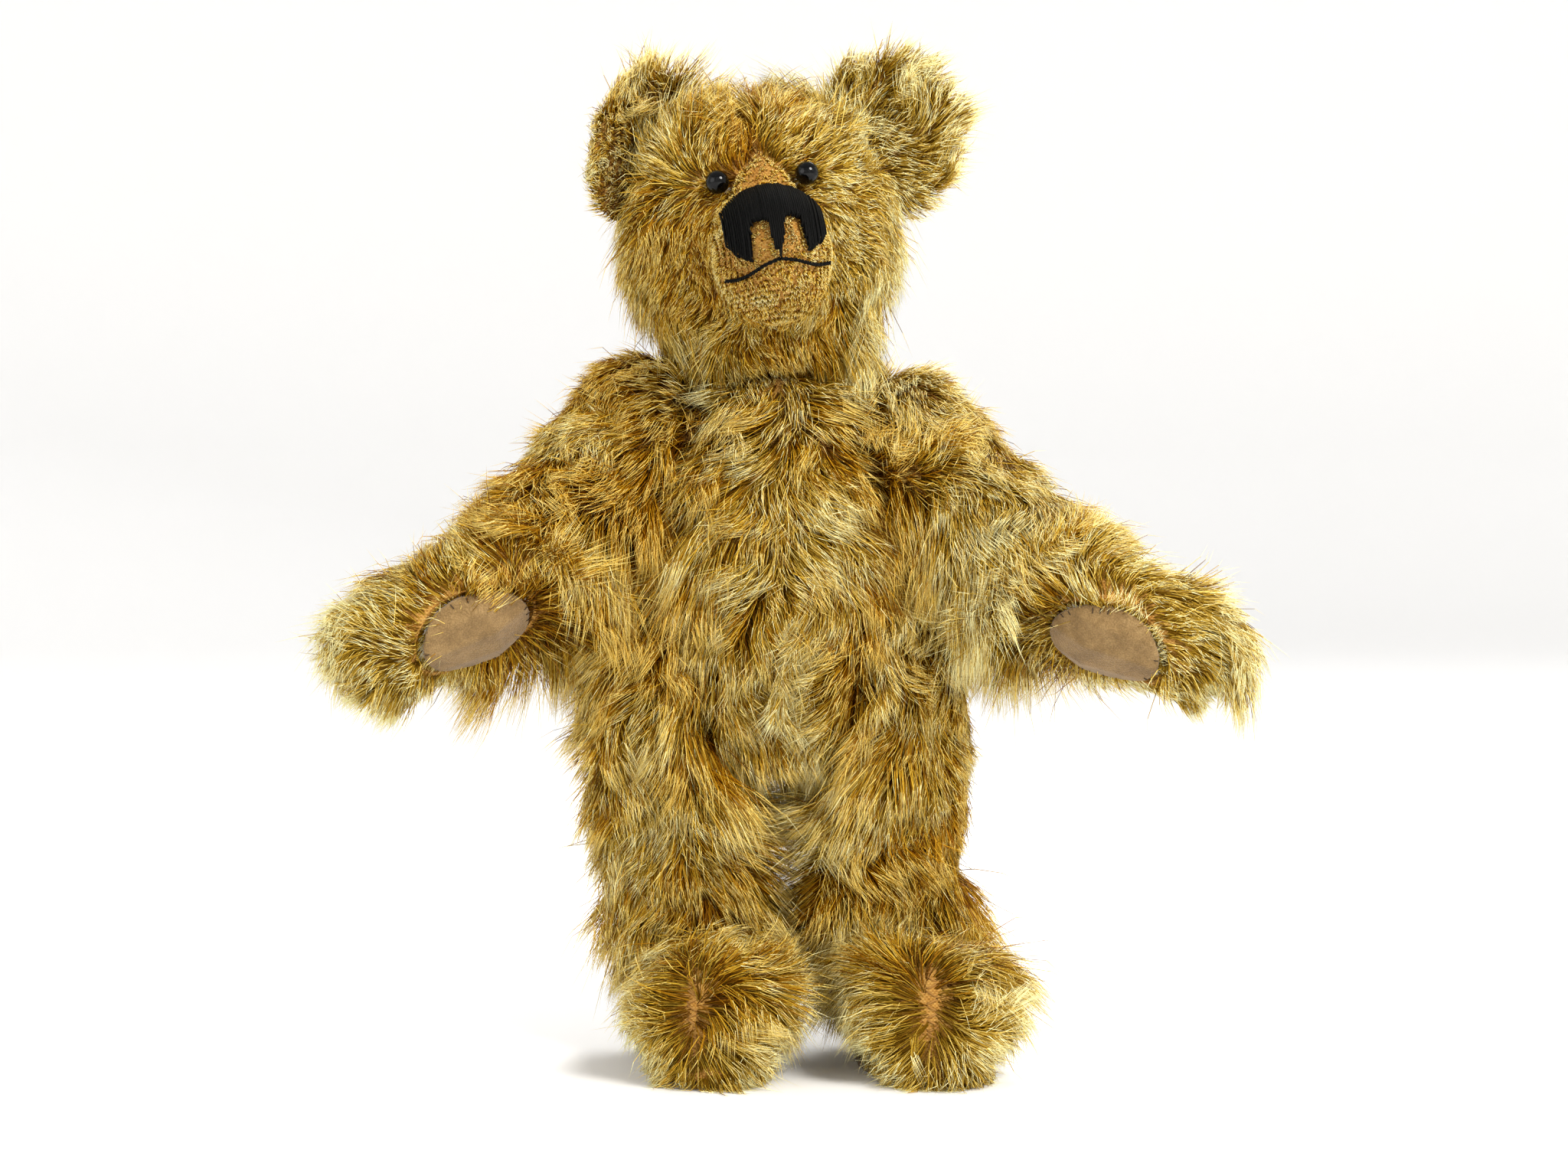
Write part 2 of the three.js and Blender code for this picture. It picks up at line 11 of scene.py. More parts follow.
import bpy
import numpy as np
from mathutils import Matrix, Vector
from mathutils.bvhtree import BVHTree
from mathutils.kdtree import KDTree


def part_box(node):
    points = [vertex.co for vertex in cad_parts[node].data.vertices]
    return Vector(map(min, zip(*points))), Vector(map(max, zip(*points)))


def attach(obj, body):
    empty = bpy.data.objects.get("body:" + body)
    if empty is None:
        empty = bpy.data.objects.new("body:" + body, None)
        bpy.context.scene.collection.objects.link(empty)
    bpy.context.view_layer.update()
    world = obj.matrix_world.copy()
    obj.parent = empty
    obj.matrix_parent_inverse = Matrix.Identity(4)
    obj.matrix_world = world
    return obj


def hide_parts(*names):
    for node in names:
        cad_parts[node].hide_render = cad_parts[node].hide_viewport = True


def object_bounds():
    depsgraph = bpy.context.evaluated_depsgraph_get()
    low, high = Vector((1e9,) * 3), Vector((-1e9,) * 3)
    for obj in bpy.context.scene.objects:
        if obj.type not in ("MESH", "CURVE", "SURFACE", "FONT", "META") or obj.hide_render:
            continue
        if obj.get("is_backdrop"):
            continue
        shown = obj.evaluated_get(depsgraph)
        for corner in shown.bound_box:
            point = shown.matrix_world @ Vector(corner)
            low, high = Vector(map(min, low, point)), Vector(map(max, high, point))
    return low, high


MM = 0.001
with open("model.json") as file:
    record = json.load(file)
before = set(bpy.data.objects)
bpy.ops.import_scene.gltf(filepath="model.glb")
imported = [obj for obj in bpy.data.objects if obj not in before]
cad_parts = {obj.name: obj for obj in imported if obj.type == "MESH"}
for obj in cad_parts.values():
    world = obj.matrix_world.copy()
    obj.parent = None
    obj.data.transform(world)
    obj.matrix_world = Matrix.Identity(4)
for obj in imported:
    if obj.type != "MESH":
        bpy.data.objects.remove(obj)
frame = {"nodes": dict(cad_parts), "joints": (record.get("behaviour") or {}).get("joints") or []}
CAD_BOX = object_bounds()
NODES = frame["nodes"]
JOINTS = {j["name"]: j for j in frame["joints"]}
SIDES = {"left": 1, "right": -1}
DOWN = np.array([0.0, 0.0, -1.0])
UP = -DOWN
BACK = np.array([0.0, 1.0, 0.0])

# ---- Camera ----

CAMERA_DISTANCE = 600 * MM  # from the upright plane that the joints lie in
CAMERA_HEIGHT = 112.5 * MM
VIEW_WIDTH = 380 * MM  # what the picture spans in that plane
SENSOR = 36
BODY_MIDDLE = 2.5 * MM  # from the neck joint to the middle of the body, towards the bear's left


def make_camera():
    neck_x, joint_plane, _ = JOINTS["neck"]["pos_m"]
    data = bpy.data.cameras.new("camera")
    data.sensor_width = SENSOR
    data.lens = SENSOR * CAMERA_DISTANCE / VIEW_WIDTH
    data.clip_start = 10 * MM
    camera = bpy.data.objects.new("camera", data)
    camera.location = (neck_x + BODY_MIDDLE, joint_plane - CAMERA_DISTANCE, CAMERA_HEIGHT)
    camera.rotation_euler = (math.radians(90), 0, 0)
    bpy.context.scene.collection.objects.link(camera)
    bpy.context.scene.camera = camera


# ---- Colours and materials ----


def linear(red, green, blue):
    """A colour given as 0 to 255 on a screen, as the linear values a shader takes."""
    return [((c / 255 + 0.055) / 1.055) ** 2.4 if c > 10 else c / 3295 for c in (red, green, blue)] + [1.0]


def plain(name, colour, roughness, **sockets):
    """A material of one colour; sockets are other inputs of the shader."""
    made = bpy.data.materials.new(name)
    made.use_nodes = True
    shader = made.node_tree.nodes["Principled BSDF"]
    shader.inputs["Base Color"].default_value = colour
    shader.inputs["Roughness"].default_value = roughness
    for socket, value in sockets.items():
        shader.inputs[socket.replace("_", " ")].default_value = value
    return made


def shared(name, colour, roughness, **sockets):
    """A plain material that several pieces use."""
    return bpy.data.materials.get(name) or plain(name, colour, roughness, **sockets)


def repaint(obj, material):
    obj.data.materials.clear()
    obj.data.materials.append(material)


class Nodes:
    """A short way to add and link nodes in a material."""

    def __init__(self, material):
        self.tree = material.node_tree
        self.shader = self.tree.nodes["Principled BSDF"]
        self.place = self.add("ShaderNodeTexCoord").outputs["Object"]

    def add(self, kind, inputs=None, **settings):
        node = self.tree.nodes.new(kind)
        for name, value in settings.items():
            setattr(node, name, value)
        for name, value in (inputs or {}).items():
            socket = node.inputs[name]
            if isinstance(value, bpy.types.NodeSocket):
                self.tree.links.new(value, socket)
            else:
                socket.default_value = value
        return node

    def noise(self, size, detail=3.0, stretch=(1, 1, 1)):
        """Noise whose features are about size across, stretched along an axis where stretch is under 1."""
        scaled = self.add("ShaderNodeMapping", {"Vector": self.place, "Scale": stretch})
        inputs = {"Vector": scaled.outputs["Vector"], "Scale": 1 / size, "Detail": detail}
        return self.add("ShaderNodeTexNoise", inputs).outputs["Fac"]

    def ramp(self, factor, *stops):
        """Colours along a factor, as (place, colour) pairs."""
        node = self.add("ShaderNodeValToRGB", {"Fac": factor})
        elements = node.color_ramp.elements
        while len(elements) < len(stops):
            elements.new(0.5)
        for element, (place, colour) in zip(elements, stops):
            element.position = place
            element.color = colour
        return node.outputs["Color"]

    def math(self, operation, a, b):
        return self.add("ShaderNodeMath", {0: a, 1: b}, operation=operation).outputs["Value"]

    def link(self, socket, name):
        self.tree.links.new(socket, self.shader.inputs[name])

    def bump(self, height, distance):
        node = self.add("ShaderNodeBump", {"Height": height, "Distance": distance, "Strength": 1.0})
        self.link(node.outputs["Normal"], "Normal")

    def weave(self, pitch):
        """Threads over and under each other, seen square to X and to Y, as a height from 0 to 1."""
        split = self.add("ShaderNodeSeparateXYZ", {"Vector": self.place})
        turn = 2 * math.pi / pitch
        turns = [self.math("MULTIPLY", split.outputs[axis], turn) for axis in "XYZ"]
        waves = [self.math("SINE", angle, 0.0) for angle in turns]
        across = self.math("MULTIPLY", self.math("ADD", waves[0], waves[1]), 0.5)
        checks = self.math("MULTIPLY", across, waves[2])
        return self.math("MULTIPLY_ADD", checks, 0.5)


def backing_material():
    """Woven tan cotton that the pile is tied into. Its tan is set darker than the cloth's own, as painted
    shade under the pile.
    """
    made = plain("woven_backing", linear(152, 106, 44), 0.95, Specular_IOR_Level=0.15)
    nodes = Nodes(made)
    weave = nodes.weave(0.9 * MM)
    patches = nodes.noise(3 * MM)
    tone = nodes.math("ADD", nodes.math("MULTIPLY", weave, 0.6), nodes.math("MULTIPLY", patches, 0.7))
    colour = nodes.ramp(
        tone, (0.25, linear(112, 70, 24)), (0.55, linear(152, 106, 44)), (0.9, linear(184, 142, 74))
    )
    nodes.link(colour, "Base Color")
    nodes.bump(weave, 0.25 * MM)
    return made


def felt_material():
    made = plain("wool_felt", linear(132, 105, 66), 0.97, Specular_IOR_Level=0.1, Sheen_Weight=0.25)
    nodes = Nodes(made)
    fibres = nodes.noise(0.35 * MM, 4.0)
    patches = nodes.noise(4 * MM, 2.0)
    tone = nodes.math("ADD", nodes.math("MULTIPLY", fibres, 0.55), nodes.math("MULTIPLY", patches, 0.45))
    colour = nodes.ramp(
        tone, (0.32, linear(104, 81, 48)), (0.5, linear(132, 105, 66)), (0.68, linear(156, 128, 85))
    )
    nodes.link(colour, "Base Color")
    nodes.bump(fibres, 0.3 * MM)
    return made


def grained(name, colour, roughness, size, detail, stops, depth, **sockets):
    """A plain material with grain of one size, which shows in its colours and in its height."""
    made = plain(name, colour, roughness, **sockets)
    nodes = Nodes(made)
    grain = nodes.noise(size, detail)
    nodes.link(nodes.ramp(grain, *stops), "Base Color")
    nodes.bump(grain, depth)
    return made


def stuffing_material():
    stops = (0.35, linear(196, 184, 156)), (0.6, linear(238, 233, 220))
    return grained("kapok", linear(226, 220, 204), 1.0, 1.2 * MM, 5.0, stops, 0.8 * MM)


def board_material(name, dark, pale):
    return grained(name, pale, 0.85, 0.8 * MM, 4.0, ((0.35, dark), (0.65, pale)), 0.1 * MM)


def steel_material():
    made = plain("zinc_plated_steel", linear(196, 198, 202), 0.35, Metallic=1.0)
    nodes = Nodes(made)
    scratches = nodes.noise(0.4 * MM, 3.0, (1, 1, 0.1))
    roughness = nodes.add("ShaderNodeMapRange", {"Value": scratches, "To Min": 0.25, "To Max": 0.5})
    nodes.link(roughness.outputs[0], "Roughness")
    return made


def thread_material():
    stops = (0.3, linear(5, 5, 5)), (0.7, linear(17, 17, 16))
    shine = {"Specular_IOR_Level": 0.06}
    return grained("black_thread", linear(14, 14, 13), 0.7, 0.3 * MM, 3.0, stops, 0.06 * MM, **shine)


# Colours of a fibre from its root to its tip, in four kinds of lock, the darkest first. Each kind is the
# pile's own colour, but the darker roots are painted shade that the fibres cast on each other, and the paler
# tips are painted light shining through them.
PILE = {
    "amber": [(94, 50, 0), (146, 93, 4), (194, 142, 26), (238, 200, 98)],
    "gold": [(100, 60, 0), (155, 107, 10), (204, 161, 46), (246, 219, 124)],
    "ash": [(96, 69, 5), (148, 118, 34), (192, 163, 76), (236, 214, 144)],
    "straw": [(112, 78, 6), (181, 144, 44), (230, 200, 104), (252, 244, 182)],
}
# The four shades run from the painted shade at the root to the painted light at the tip.
LEVELS = 4  # shades along a fibre
KIND_STEPS = [-0.9, 0.1, 0.6]  # tones that part one kind of lock from the next
PILE_LOOK = {"roughness": 0.5, "Specular_IOR_Level": 0.15, "Specular_Tint": (1.0, 0.84, 0.5, 1.0)}


def pile_materials():
    """The plain shades of the pile: four from root to tip for each kind of lock, from painted shade at the
    root to painted light at the tip.
    """
    return [
        plain(f"mohair_{kind}_{level}", linear(*colour), **PILE_LOOK)
        for kind, levels in PILE.items()
        for level, colour in enumerate(levels)
    ]


# ---- Meshes ----


def values_of(items, name, width, kind=np.float32):
    found = np.zeros(len(items) * width, kind)
    items.foreach_get(name, found)
    return found.reshape(-1, width)


def points_of(mesh):
    return values_of(mesh.vertices, "co", 3).astype(float)


def normals_of(mesh):
    return values_of(mesh.vertex_normals, "vector", 3).astype(float)


def edges_of(mesh):
    return values_of(mesh.edges, "vertices", 2, np.int32)


def triangles_of(mesh):
    mesh.calc_loop_triangles()
    return values_of(mesh.loop_triangles, "vertices", 3, np.int32)


def set_points(mesh, places):
    mesh.vertices.foreach_set("co", np.asarray(places, np.float32).ravel())
    mesh.update()


def build_mesh(name, places, sizes, corners, shade=None):
    """A mesh from flat arrays: how many corners each face has, and the corners one after another."""
    mesh = bpy.data.meshes.new(name)
    mesh.vertices.add(len(places))
    mesh.loops.add(len(corners))
    mesh.polygons.add(len(sizes))
    mesh.vertices.foreach_set("co", np.asarray(places, np.float32).ravel())
    mesh.loops.foreach_set("vertex_index", np.asarray(corners, np.int32))
    starts = np.concatenate([[0], np.cumsum(sizes)[:-1]]).astype(np.int32)
    mesh.polygons.foreach_set("loop_start", starts)
    mesh.polygons.foreach_set("use_smooth", np.ones(len(sizes), bool))
    if shade is not None:
        mesh.polygons.foreach_set("material_index", np.asarray(shade, np.int32))
    mesh.update(calc_edges=True)
    return mesh


def turned(name, profile, around, middle=(0, 0, 0)):
    """A mesh turned round the upright, from (radius, height) pairs that start on its axis."""
    places, faces, last = [], [], None
    for radius, height in profile:
        ring = [len(places) + (i if radius else 0) for i in range(around)]
        for i in range(around if radius else 1):
            turn = 2 * math.pi * i / around
            places.append((radius * math.cos(turn), radius * math.sin(turn), height))
        for i in range(around if last else 0):
            j = (i + 1) % around
            faces.append(list(dict.fromkeys((last[i], ring[i], ring[j], last[j]))))
        last = ring
    sizes = [len(face) for face in faces]
    return build_mesh(name, np.array(places) + np.array(middle), sizes, np.concatenate(faces))


def link(mesh, *materials):
    obj = bpy.data.objects.new(mesh.name, mesh)
    bpy.context.scene.collection.objects.link(obj)
    for material in materials:
        mesh.materials.append(material)
    return obj


def applied(obj):
    """Applies the object's modifiers to its mesh, and clears them."""
    graph = bpy.context.evaluated_depsgraph_get()
    mesh = bpy.data.meshes.new_from_object(obj.evaluated_get(graph))
    obj.modifiers.clear()
    old = obj.data
    obj.data = mesh
    bpy.data.meshes.remove(old)


def joined(name, nodes):
    """One object of copies of several CAD nodes."""
    places, corners, sizes, base = [], [], [], 0
    for node in nodes:
        mesh = NODES[node].data
        triangles = triangles_of(mesh)
        places.append(points_of(mesh))
        corners.append(triangles.ravel() + base)
        sizes.append(np.full(len(triangles), 3))
        base += len(mesh.vertices)
    mesh = build_mesh(name, np.concatenate(places), np.concatenate(sizes), np.concatenate(corners))
    return link(mesh)


def smoothed(places, edges, rounds, pull=0.6, push=-0.62):
    """Evens a surface out without shrinking it."""
    count = np.bincount(edges.ravel(), minlength=len(places))[:, None]
    for _ in range(rounds):
        for step in (pull, push):
            total = np.zeros_like(places)
            np.add.at(total, edges[:, 0], places[edges[:, 1]])
            np.add.at(total, edges[:, 1], places[edges[:, 0]])
            places = places + step * (total / count - places)
    return places


def outer_part(obj):
    """Keeps only the connected part of a mesh that is largest across."""
    mesh = obj.data
    edges = edges_of(mesh)
    label = np.arange(len(mesh.vertices))
    while True:
        low = np.minimum(label[edges[:, 0]], label[edges[:, 1]])
        new = label.copy()
        np.minimum.at(new, edges[:, 0], low)
        np.minimum.at(new, edges[:, 1], low)
        new = new[new]
        if (new == label).all():
            break
        label = new
    places = points_of(mesh)
    kinds = np.unique(label)
    spans = [np.ptp(places[label == kind], axis=0).sum() for kind in kinds]
    keep = label == kinds[int(np.argmax(spans))]
    triangles = triangles_of(mesh)
    kept = triangles[keep[triangles[:, 0]]]
    number = np.cumsum(keep) - 1
    obj.data = build_mesh(mesh.name, places[keep], np.full(len(kept), 3), number[kept].ravel())
    bpy.data.meshes.remove(mesh)


def skin(name, nodes, voxel, rounds=25):
    """A smooth closed surface round several CAD nodes."""
    obj = joined(name, nodes)
    remesh = obj.modifiers.new("remesh", "REMESH")
    remesh.mode = "VOXEL"
    remesh.voxel_size = voxel
    applied(obj)
    outer_part(obj)
    set_points(obj.data, smoothed(points_of(obj.data), edges_of(obj.data), rounds))
    return obj


def shrink(obj, depth):
    """Moves the surface in along its normals, by one depth or by one for each point."""
    mesh = obj.data
    places = points_of(mesh)
    depth = np.broadcast_to(np.asarray(depth, float), len(places))
    set_points(mesh, places - normals_of(mesh) * depth[:, None])


def finish_piece(obj, body, slot, *replaced):
    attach(obj, body)
    if replaced:
        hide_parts(*replaced)


def unit(vectors):
    return vectors / np.maximum(np.linalg.norm(vectors, axis=-1, keepdims=True), 1e-9)


def smooth_step(value, low, high):
    """0 to 1 as a value passes from low to high."""
    share = np.clip((value - low) / (high - low), 0, 1)
    return share * share * (3 - 2 * share)


def rising(length, low, high):
    """0 to 1 as a length passes from low to high, these two in millimetres."""
    return smooth_step(length, low * MM, high * MM)


def falling(length, low, high):
    """1 to 0 as a length passes from low to high, these two in millimetres."""
    return 1 - smooth_step(length, low * MM, high * MM)


def distance_to(tree, places, reach):
    """How far each place is from a surface, up to reach."""
    found = [tree.find_nearest(Vector(p), reach)[3] for p in places]
    return np.array([reach if d is None else d for d in found])


def tree_of(mesh):
    faces = [tuple(map(int, triangle)) for triangle in triangles_of(mesh)]
    return BVHTree.FromPolygons([v.co.copy() for v in mesh.vertices], faces)


def away(places, at):
    """How far each place is from a point."""
    return np.linalg.norm(places - at, axis=1)


# ---- Pile ----

RINGS = 3  # rings of three points on a fibre, before its tip
TAPER = np.array([1.0, 0.9, 0.65])  # how wide a fibre is at each ring
PER_PIECE = 12000  # fibres in one piece
LEAN = 60  # degrees from upright at which fibres leave the cloth
LIE_DOWN = 30  # degrees that they bend over towards their tips
PER_LOCK = 36  # fibres in a lock
PER_TUFT = 200  # fibres in a tuft of several locks
PALER, DARKER = 0.5, 0.25  # shares of the fibres that are a shade paler or darker than their kind


def wander(places, size, rng, waves=5):
    """A slowly changing number from about -1 to 1, whose features are about size across."""
    total = np.zeros(len(places))
    for _ in range(waves):
        way = rng.normal(size=3)
        way *= 2 * math.pi / (size * np.linalg.norm(way) * rng.uniform(0.7, 1.6))
        total += np.sin(places @ way + rng.uniform(0, 2 * math.pi))
    return total / math.sqrt(waves)


def scatter(mesh, density, rng):
    """Random roots on a mesh, density(places, normals) per square metre. Returns places and normals."""
    triangles = triangles_of(mesh)
    corners = points_of(mesh)[triangles]
    normals = normals_of(mesh)[triangles]
    area = np.linalg.norm(np.cross(corners[:, 1] - corners[:, 0], corners[:, 2] - corners[:, 0]), axis=1) / 2
    expected = area * density(corners.mean(1), unit(normals.mean(1)))
    count = rng.poisson(expected)
    chosen = np.repeat(np.arange(len(triangles)), count)
    u, v = rng.random((2, len(chosen), 1))
    flip = u + v > 1
    u, v = np.where(flip, 1 - u, u), np.where(flip, 1 - v, v)

    def within(c):
        return c[chosen, 0] * (1 - u - v) + c[chosen, 1] * u + c[chosen, 2] * v

    return within(corners), unit(within(normals))


def nearest(places, guides):
    """For each place, which guide is nearest."""
    tree = KDTree(len(guides))
    for i, g in enumerate(guides):
        tree.insert(g, i)
    tree.balance()
    return np.array([tree.find(p)[1] for p in places])


def gather(curves, roots, length, chosen, amount, spread):
    """Draws the fibres together towards the chosen ones among them, more towards their tips."""
    near = chosen[nearest(roots, roots[chosen])]
    share = (length / length[near])[:, None, None]
    target = roots[near][:, None] + (curves[near] - roots[near][:, None]) * share
    target = target + ((roots - roots[near]) * spread)[:, None]
    t = np.linspace(0, 1, curves.shape[1])[None, :, None]
    weight = amount[:, None, None] * t**1.2
    return curves * (1 - weight) + target * weight, near


def grow(roots, normals, flow, length, rng, lean, droop=0.25, clump=0.58, frizz=0.6, fly=0.06):
    """Centre lines of fibres, which leave the cloth at lean degrees and lie down along flow, and their locks.

    droop is how strongly the tips hang, clump how close they draw together, frizz the size of their curl in
    millimetres, and fly the share of fibres that stray.
    """
    count = len(roots)
    loose = rng.random(count) < fly  # fibres that stray
    flow = unit(flow - normals * (flow * normals).sum(1)[:, None])
    across = np.cross(normals, flow)
    # Each fibre is combed a little aside, leans a little more or less, and curls at its tip.
    turn = 0.55 * wander(roots, 24 * MM, rng) + 0.3 * wander(roots, 8 * MM, rng) + rng.normal(0, 0.12, count)
    turn = np.where(loose, turn + rng.normal(0, 0.5, count), turn)[:, None]
    flow = flow * np.cos(turn) + across * np.sin(turn)
    angle = lean + 10 * wander(roots, 10 * MM, rng) + rng.normal(0, 6, count)
    angle = np.radians(np.clip(np.where(loose, angle - 12, angle), 8, 86))[:, None]
    start = normals * np.cos(angle) + flow * np.sin(angle)
    lie = np.minimum(angle + math.radians(LIE_DOWN), math.radians(90))
    curl = (1.0 * wander(roots, 13 * MM, rng) + rng.normal(0, 0.25, count))[:, None]
    swept = flow * np.cos(curl) + across * np.sin(curl)
    end = normals * np.cos(lie) + swept * np.sin(lie) + DOWN * droop
    length = np.where(loose, length * 1.15, length)
    curves = [roots]
    for k in range(RINGS):
        t = (k + 0.5) / RINGS
        step = unit(start * (1 - t) + end * t)
        curves.append(curves[-1] + step * (length / RINGS)[:, None])
    curves = np.stack(curves, 1)
    # They gather into locks, and the locks into tufts.
    amount = np.where(loose, 0.1, clump * rng.uniform(0.75, 1.0, count))
    order = rng.permutation(count)
    curves, lock = gather(curves, roots, length, order[: max(count // PER_LOCK, 1)], amount, 0.35)
    curves, _ = gather(curves, roots, length, order[: max(count // PER_TUFT, 1)], amount * 0.5, 0.65)
    t = np.linspace(0, 1, RINGS + 1)[None, :, None]
    phase = rng.uniform(0, 2 * math.pi, (count, 1, 1))
    beat = rng.uniform(0.8, 1.8, (count, 1, 1)) * 2 * math.pi
    size = frizz * MM * rng.uniform(0.3, 1.0, (count, 1, 1))
    swing = np.sin(beat * t + phase) * across[:, None] + np.cos(beat * t + phase) * normals[:, None]
    return curves + size * t * swing, lock


def needles(name, curves, width, kind, rng):
    """A mesh of closed tapered fibres, three-sided, coloured from painted shade at the root to painted light
    at the tip.
    """
    count = len(curves)
    tangent = unit(np.gradient(curves, axis=1))
    side = unit(np.cross(tangent, rng.normal(size=(count, 1, 3))))
    other = np.cross(tangent, side)
    taper = TAPER[None, :, None, None]
    turn = (np.arange(3) * 2 * math.pi / 3)[None, None, :, None]
    round_ = np.cos(turn) * side[:, :RINGS, None] + np.sin(turn) * other[:, :RINGS, None]
    rings = curves[:, :RINGS, None] + round_ * taper * (width / 2)[:, None, None, None]
    places = np.concatenate([rings.reshape(count, -1, 3), curves[:, RINGS:]], 1)
    per = RINGS * 3 + 1
    corners = [2, 1, 0]
    sizes = [3]
    levels = [0]
    for k in range(RINGS - 1):
        for i in range(3):
            j = (i + 1) % 3
            corners += [3 * k + i, 3 * k + j, 3 * k + 3 + j, 3 * k + 3 + i]
            sizes.append(4)
            levels.append(k)
    for i in range(3):
        corners += [3 * (RINGS - 1) + i, 3 * (RINGS - 1) + (i + 1) % 3, per - 1]
        sizes.append(3)
        levels.append(LEVELS - 1)
    corners = (np.array(corners)[None] + (np.arange(count) * per)[:, None]).ravel()
    sizes = np.tile(sizes, count)
    lift = (rng.random(count) < PALER).astype(int) - (rng.random(count) < DARKER)
    level = np.clip(np.array(levels)[None] + lift[:, None], 0, LEVELS - 1)
    shade = (kind[:, None] * LEVELS + level).ravel()
    return build_mesh(name, places.reshape(-1, 3), sizes, corners, shade)


def pile(
    name, body, obj, density, length, flow, rng, materials,
    split=(0, 0, 1), width=0.23, lean=LEAN, pale=lambda p: 0.0, **how,
):
    """Grows the pile on a skin, and adds it in pieces cut across split.

    density, length, flow and lean are functions of places and their normals, and pale is one of places: how
    much paler than the rest the pile is there, from about -1 to 1.
    """
    roots, normals = scatter(obj.data, density, rng)
    reach = length(roots, normals)
    how["lean"] = lean(roots, normals) if callable(lean) else lean
    size = reach * rng.uniform(0.75, 1.12, len(roots)) * (1 + 0.14 * wander(roots, 11 * MM, rng))
    curves, lock = grow(roots, normals, flow(roots, normals), size, rng, **how)
    curves[:, :, 2] = np.maximum(curves[:, :, 2], 0.3 * MM)
    tone = 0.6 * wander(roots[lock], 22 * MM, rng) + 0.5 * wander(roots[lock], 7 * MM, rng)
    # pale adds each part's painted light and shade to the tone, along with its other paler or darker places.
    tone = tone + rng.normal(0, 0.6, len(roots)) + pale(roots)
    kind = np.digitize(tone, KIND_STEPS)
    wide = width * MM * rng.uniform(0.75, 1.2, len(roots))
    order = np.argsort(roots @ np.array(split, float))
    pieces = max(1, math.ceil(len(order) / PER_PIECE))
    for i, part in enumerate(np.array_split(order, pieces)):
        mesh = needles(f"{name}_pile_{i + 1}", curves[part], wide[part], kind[part], rng)
        finish_piece(link(mesh, *materials), body, "mohair")
    print(f"{name}: {len(roots)} fibres in {pieces} pieces")


# ---- Where things are ----


def box(node):
    """The lowest and the highest corner of a CAD node."""
    return [np.array(corner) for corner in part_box(node)]


def centre(node):
    low, high = box(node)
    return (low + high) / 2


def head_axes():
    """The head's own axes, from its eyes: to the bear's left, backwards, and up."""
    side = unit(centre("eye_left") - centre("eye_right"))
    back = unit(np.cross(UP, side))
    return np.stack([side, back, np.cross(side, back)])


HEAD_AXES = head_axes()
NECK_AT = np.array(JOINTS["neck"]["pos_m"])
MUZZLE_AT = np.array([0, -30, 25]) * MM  # in the head's axes, from the neck joint
MUZZLE_HALF = np.array([13.8, 24, 15.5]) * MM
TUFTS = 1.05 * MM  # from one tuft of the clipped pile to the next
CLIPPED = 1.2 * MM  # how long it is
CLIPPED_DENSITY = 24e6  # fibres per square metre, in the middle of a tuft


def in_head(places):
    return (places - NECK_AT) @ HEAD_AXES.T


def from_head(places):
    return places @ HEAD_AXES + NECK_AT


def muzzle_reach(local):
    """1 on the muzzle's surface, less inside it, for places in the head's axes."""
    return np.linalg.norm((local - MUZZLE_AT) / MUZZLE_HALF, axis=-1)


def bare_face(local):
    """1 where the pile is clipped short: the muzzle, and a strip up between the eyes."""
    eye_height = in_head(centre("eye_left"))[2]
    on_muzzle = 1 - smooth_step(muzzle_reach(local), 1.06, 1.16)
    front = falling(local[:, 1], -34, -26)
    strip_half = 8 * MM * (1 - smooth_step(local[:, 2], eye_height - 4 * MM, eye_height + 8 * MM))
    strip = 1 - smooth_step(np.abs(local[:, 0]), strip_half - 1 * MM, strip_half + 0.5 * MM)
    strip = strip * rising(local[:, 2], 30, 34) * (local[:, 1] < 0)
    return np.maximum(on_muzzle * front, strip)


def seat(joint, side):
    """Where a disc joint is, and which way it points out of the torso."""
    found = JOINTS[joint]
    return np.array(found["pos_m"]), -side * np.array(found["axis"])


def pressed(p, n, joint, side, facing):
    """1 where cloth is pressed against a joint's other cloth; facing is 1 on the torso and -1 on the limb."""
    at, out = seat(joint, side)
    towards = smooth_step(facing * (n @ out), 0.4, 0.8)
    return towards * falling(away(p, at), 13, 19)


def near_seats(p, *joints):
    """1 round the discs of these joints, where only one layer of cloth covers them."""
    apart = np.min([away(p, np.array(JOINTS[joint]["pos_m"])) for joint in joints], axis=0)
    return falling(apart, 16, 25)


# ---- Skins ----

INSET = 2.8 * MM  # how deep under the outside of the CAD plush the woven cloth lies
SEAT_INSET = 0.3 * MM  # and where a disc is close behind it
PILE_DENSITY = 3.0e6  # fibres per square metre


def limb_skin(name, hardware, extra=()):
    nodes = [f"{name}_shell", f"{name}_stuffing", *extra]
    nodes += [f"{hardware}_{part}" for part in ("limb_disc", "limb_washer", "bolt")]
    return skin(f"{name}_skin", nodes, 1.5 * MM)


def cloth_piece(obj, body, backing, *replaced):
    """The woven skin of one stuffed part, which stands for its plush shell."""
    obj.data.materials.append(backing)
    finish_piece(obj, body, "mohair", *replaced)


def even_density(p, n):
    return np.full(len(p), PILE_DENSITY)


# ---- The torso ----
# Below, p are places on a skin and n its normals there. Lengths of pile are in millimetres until the last
# line of a function, and leans are in degrees.


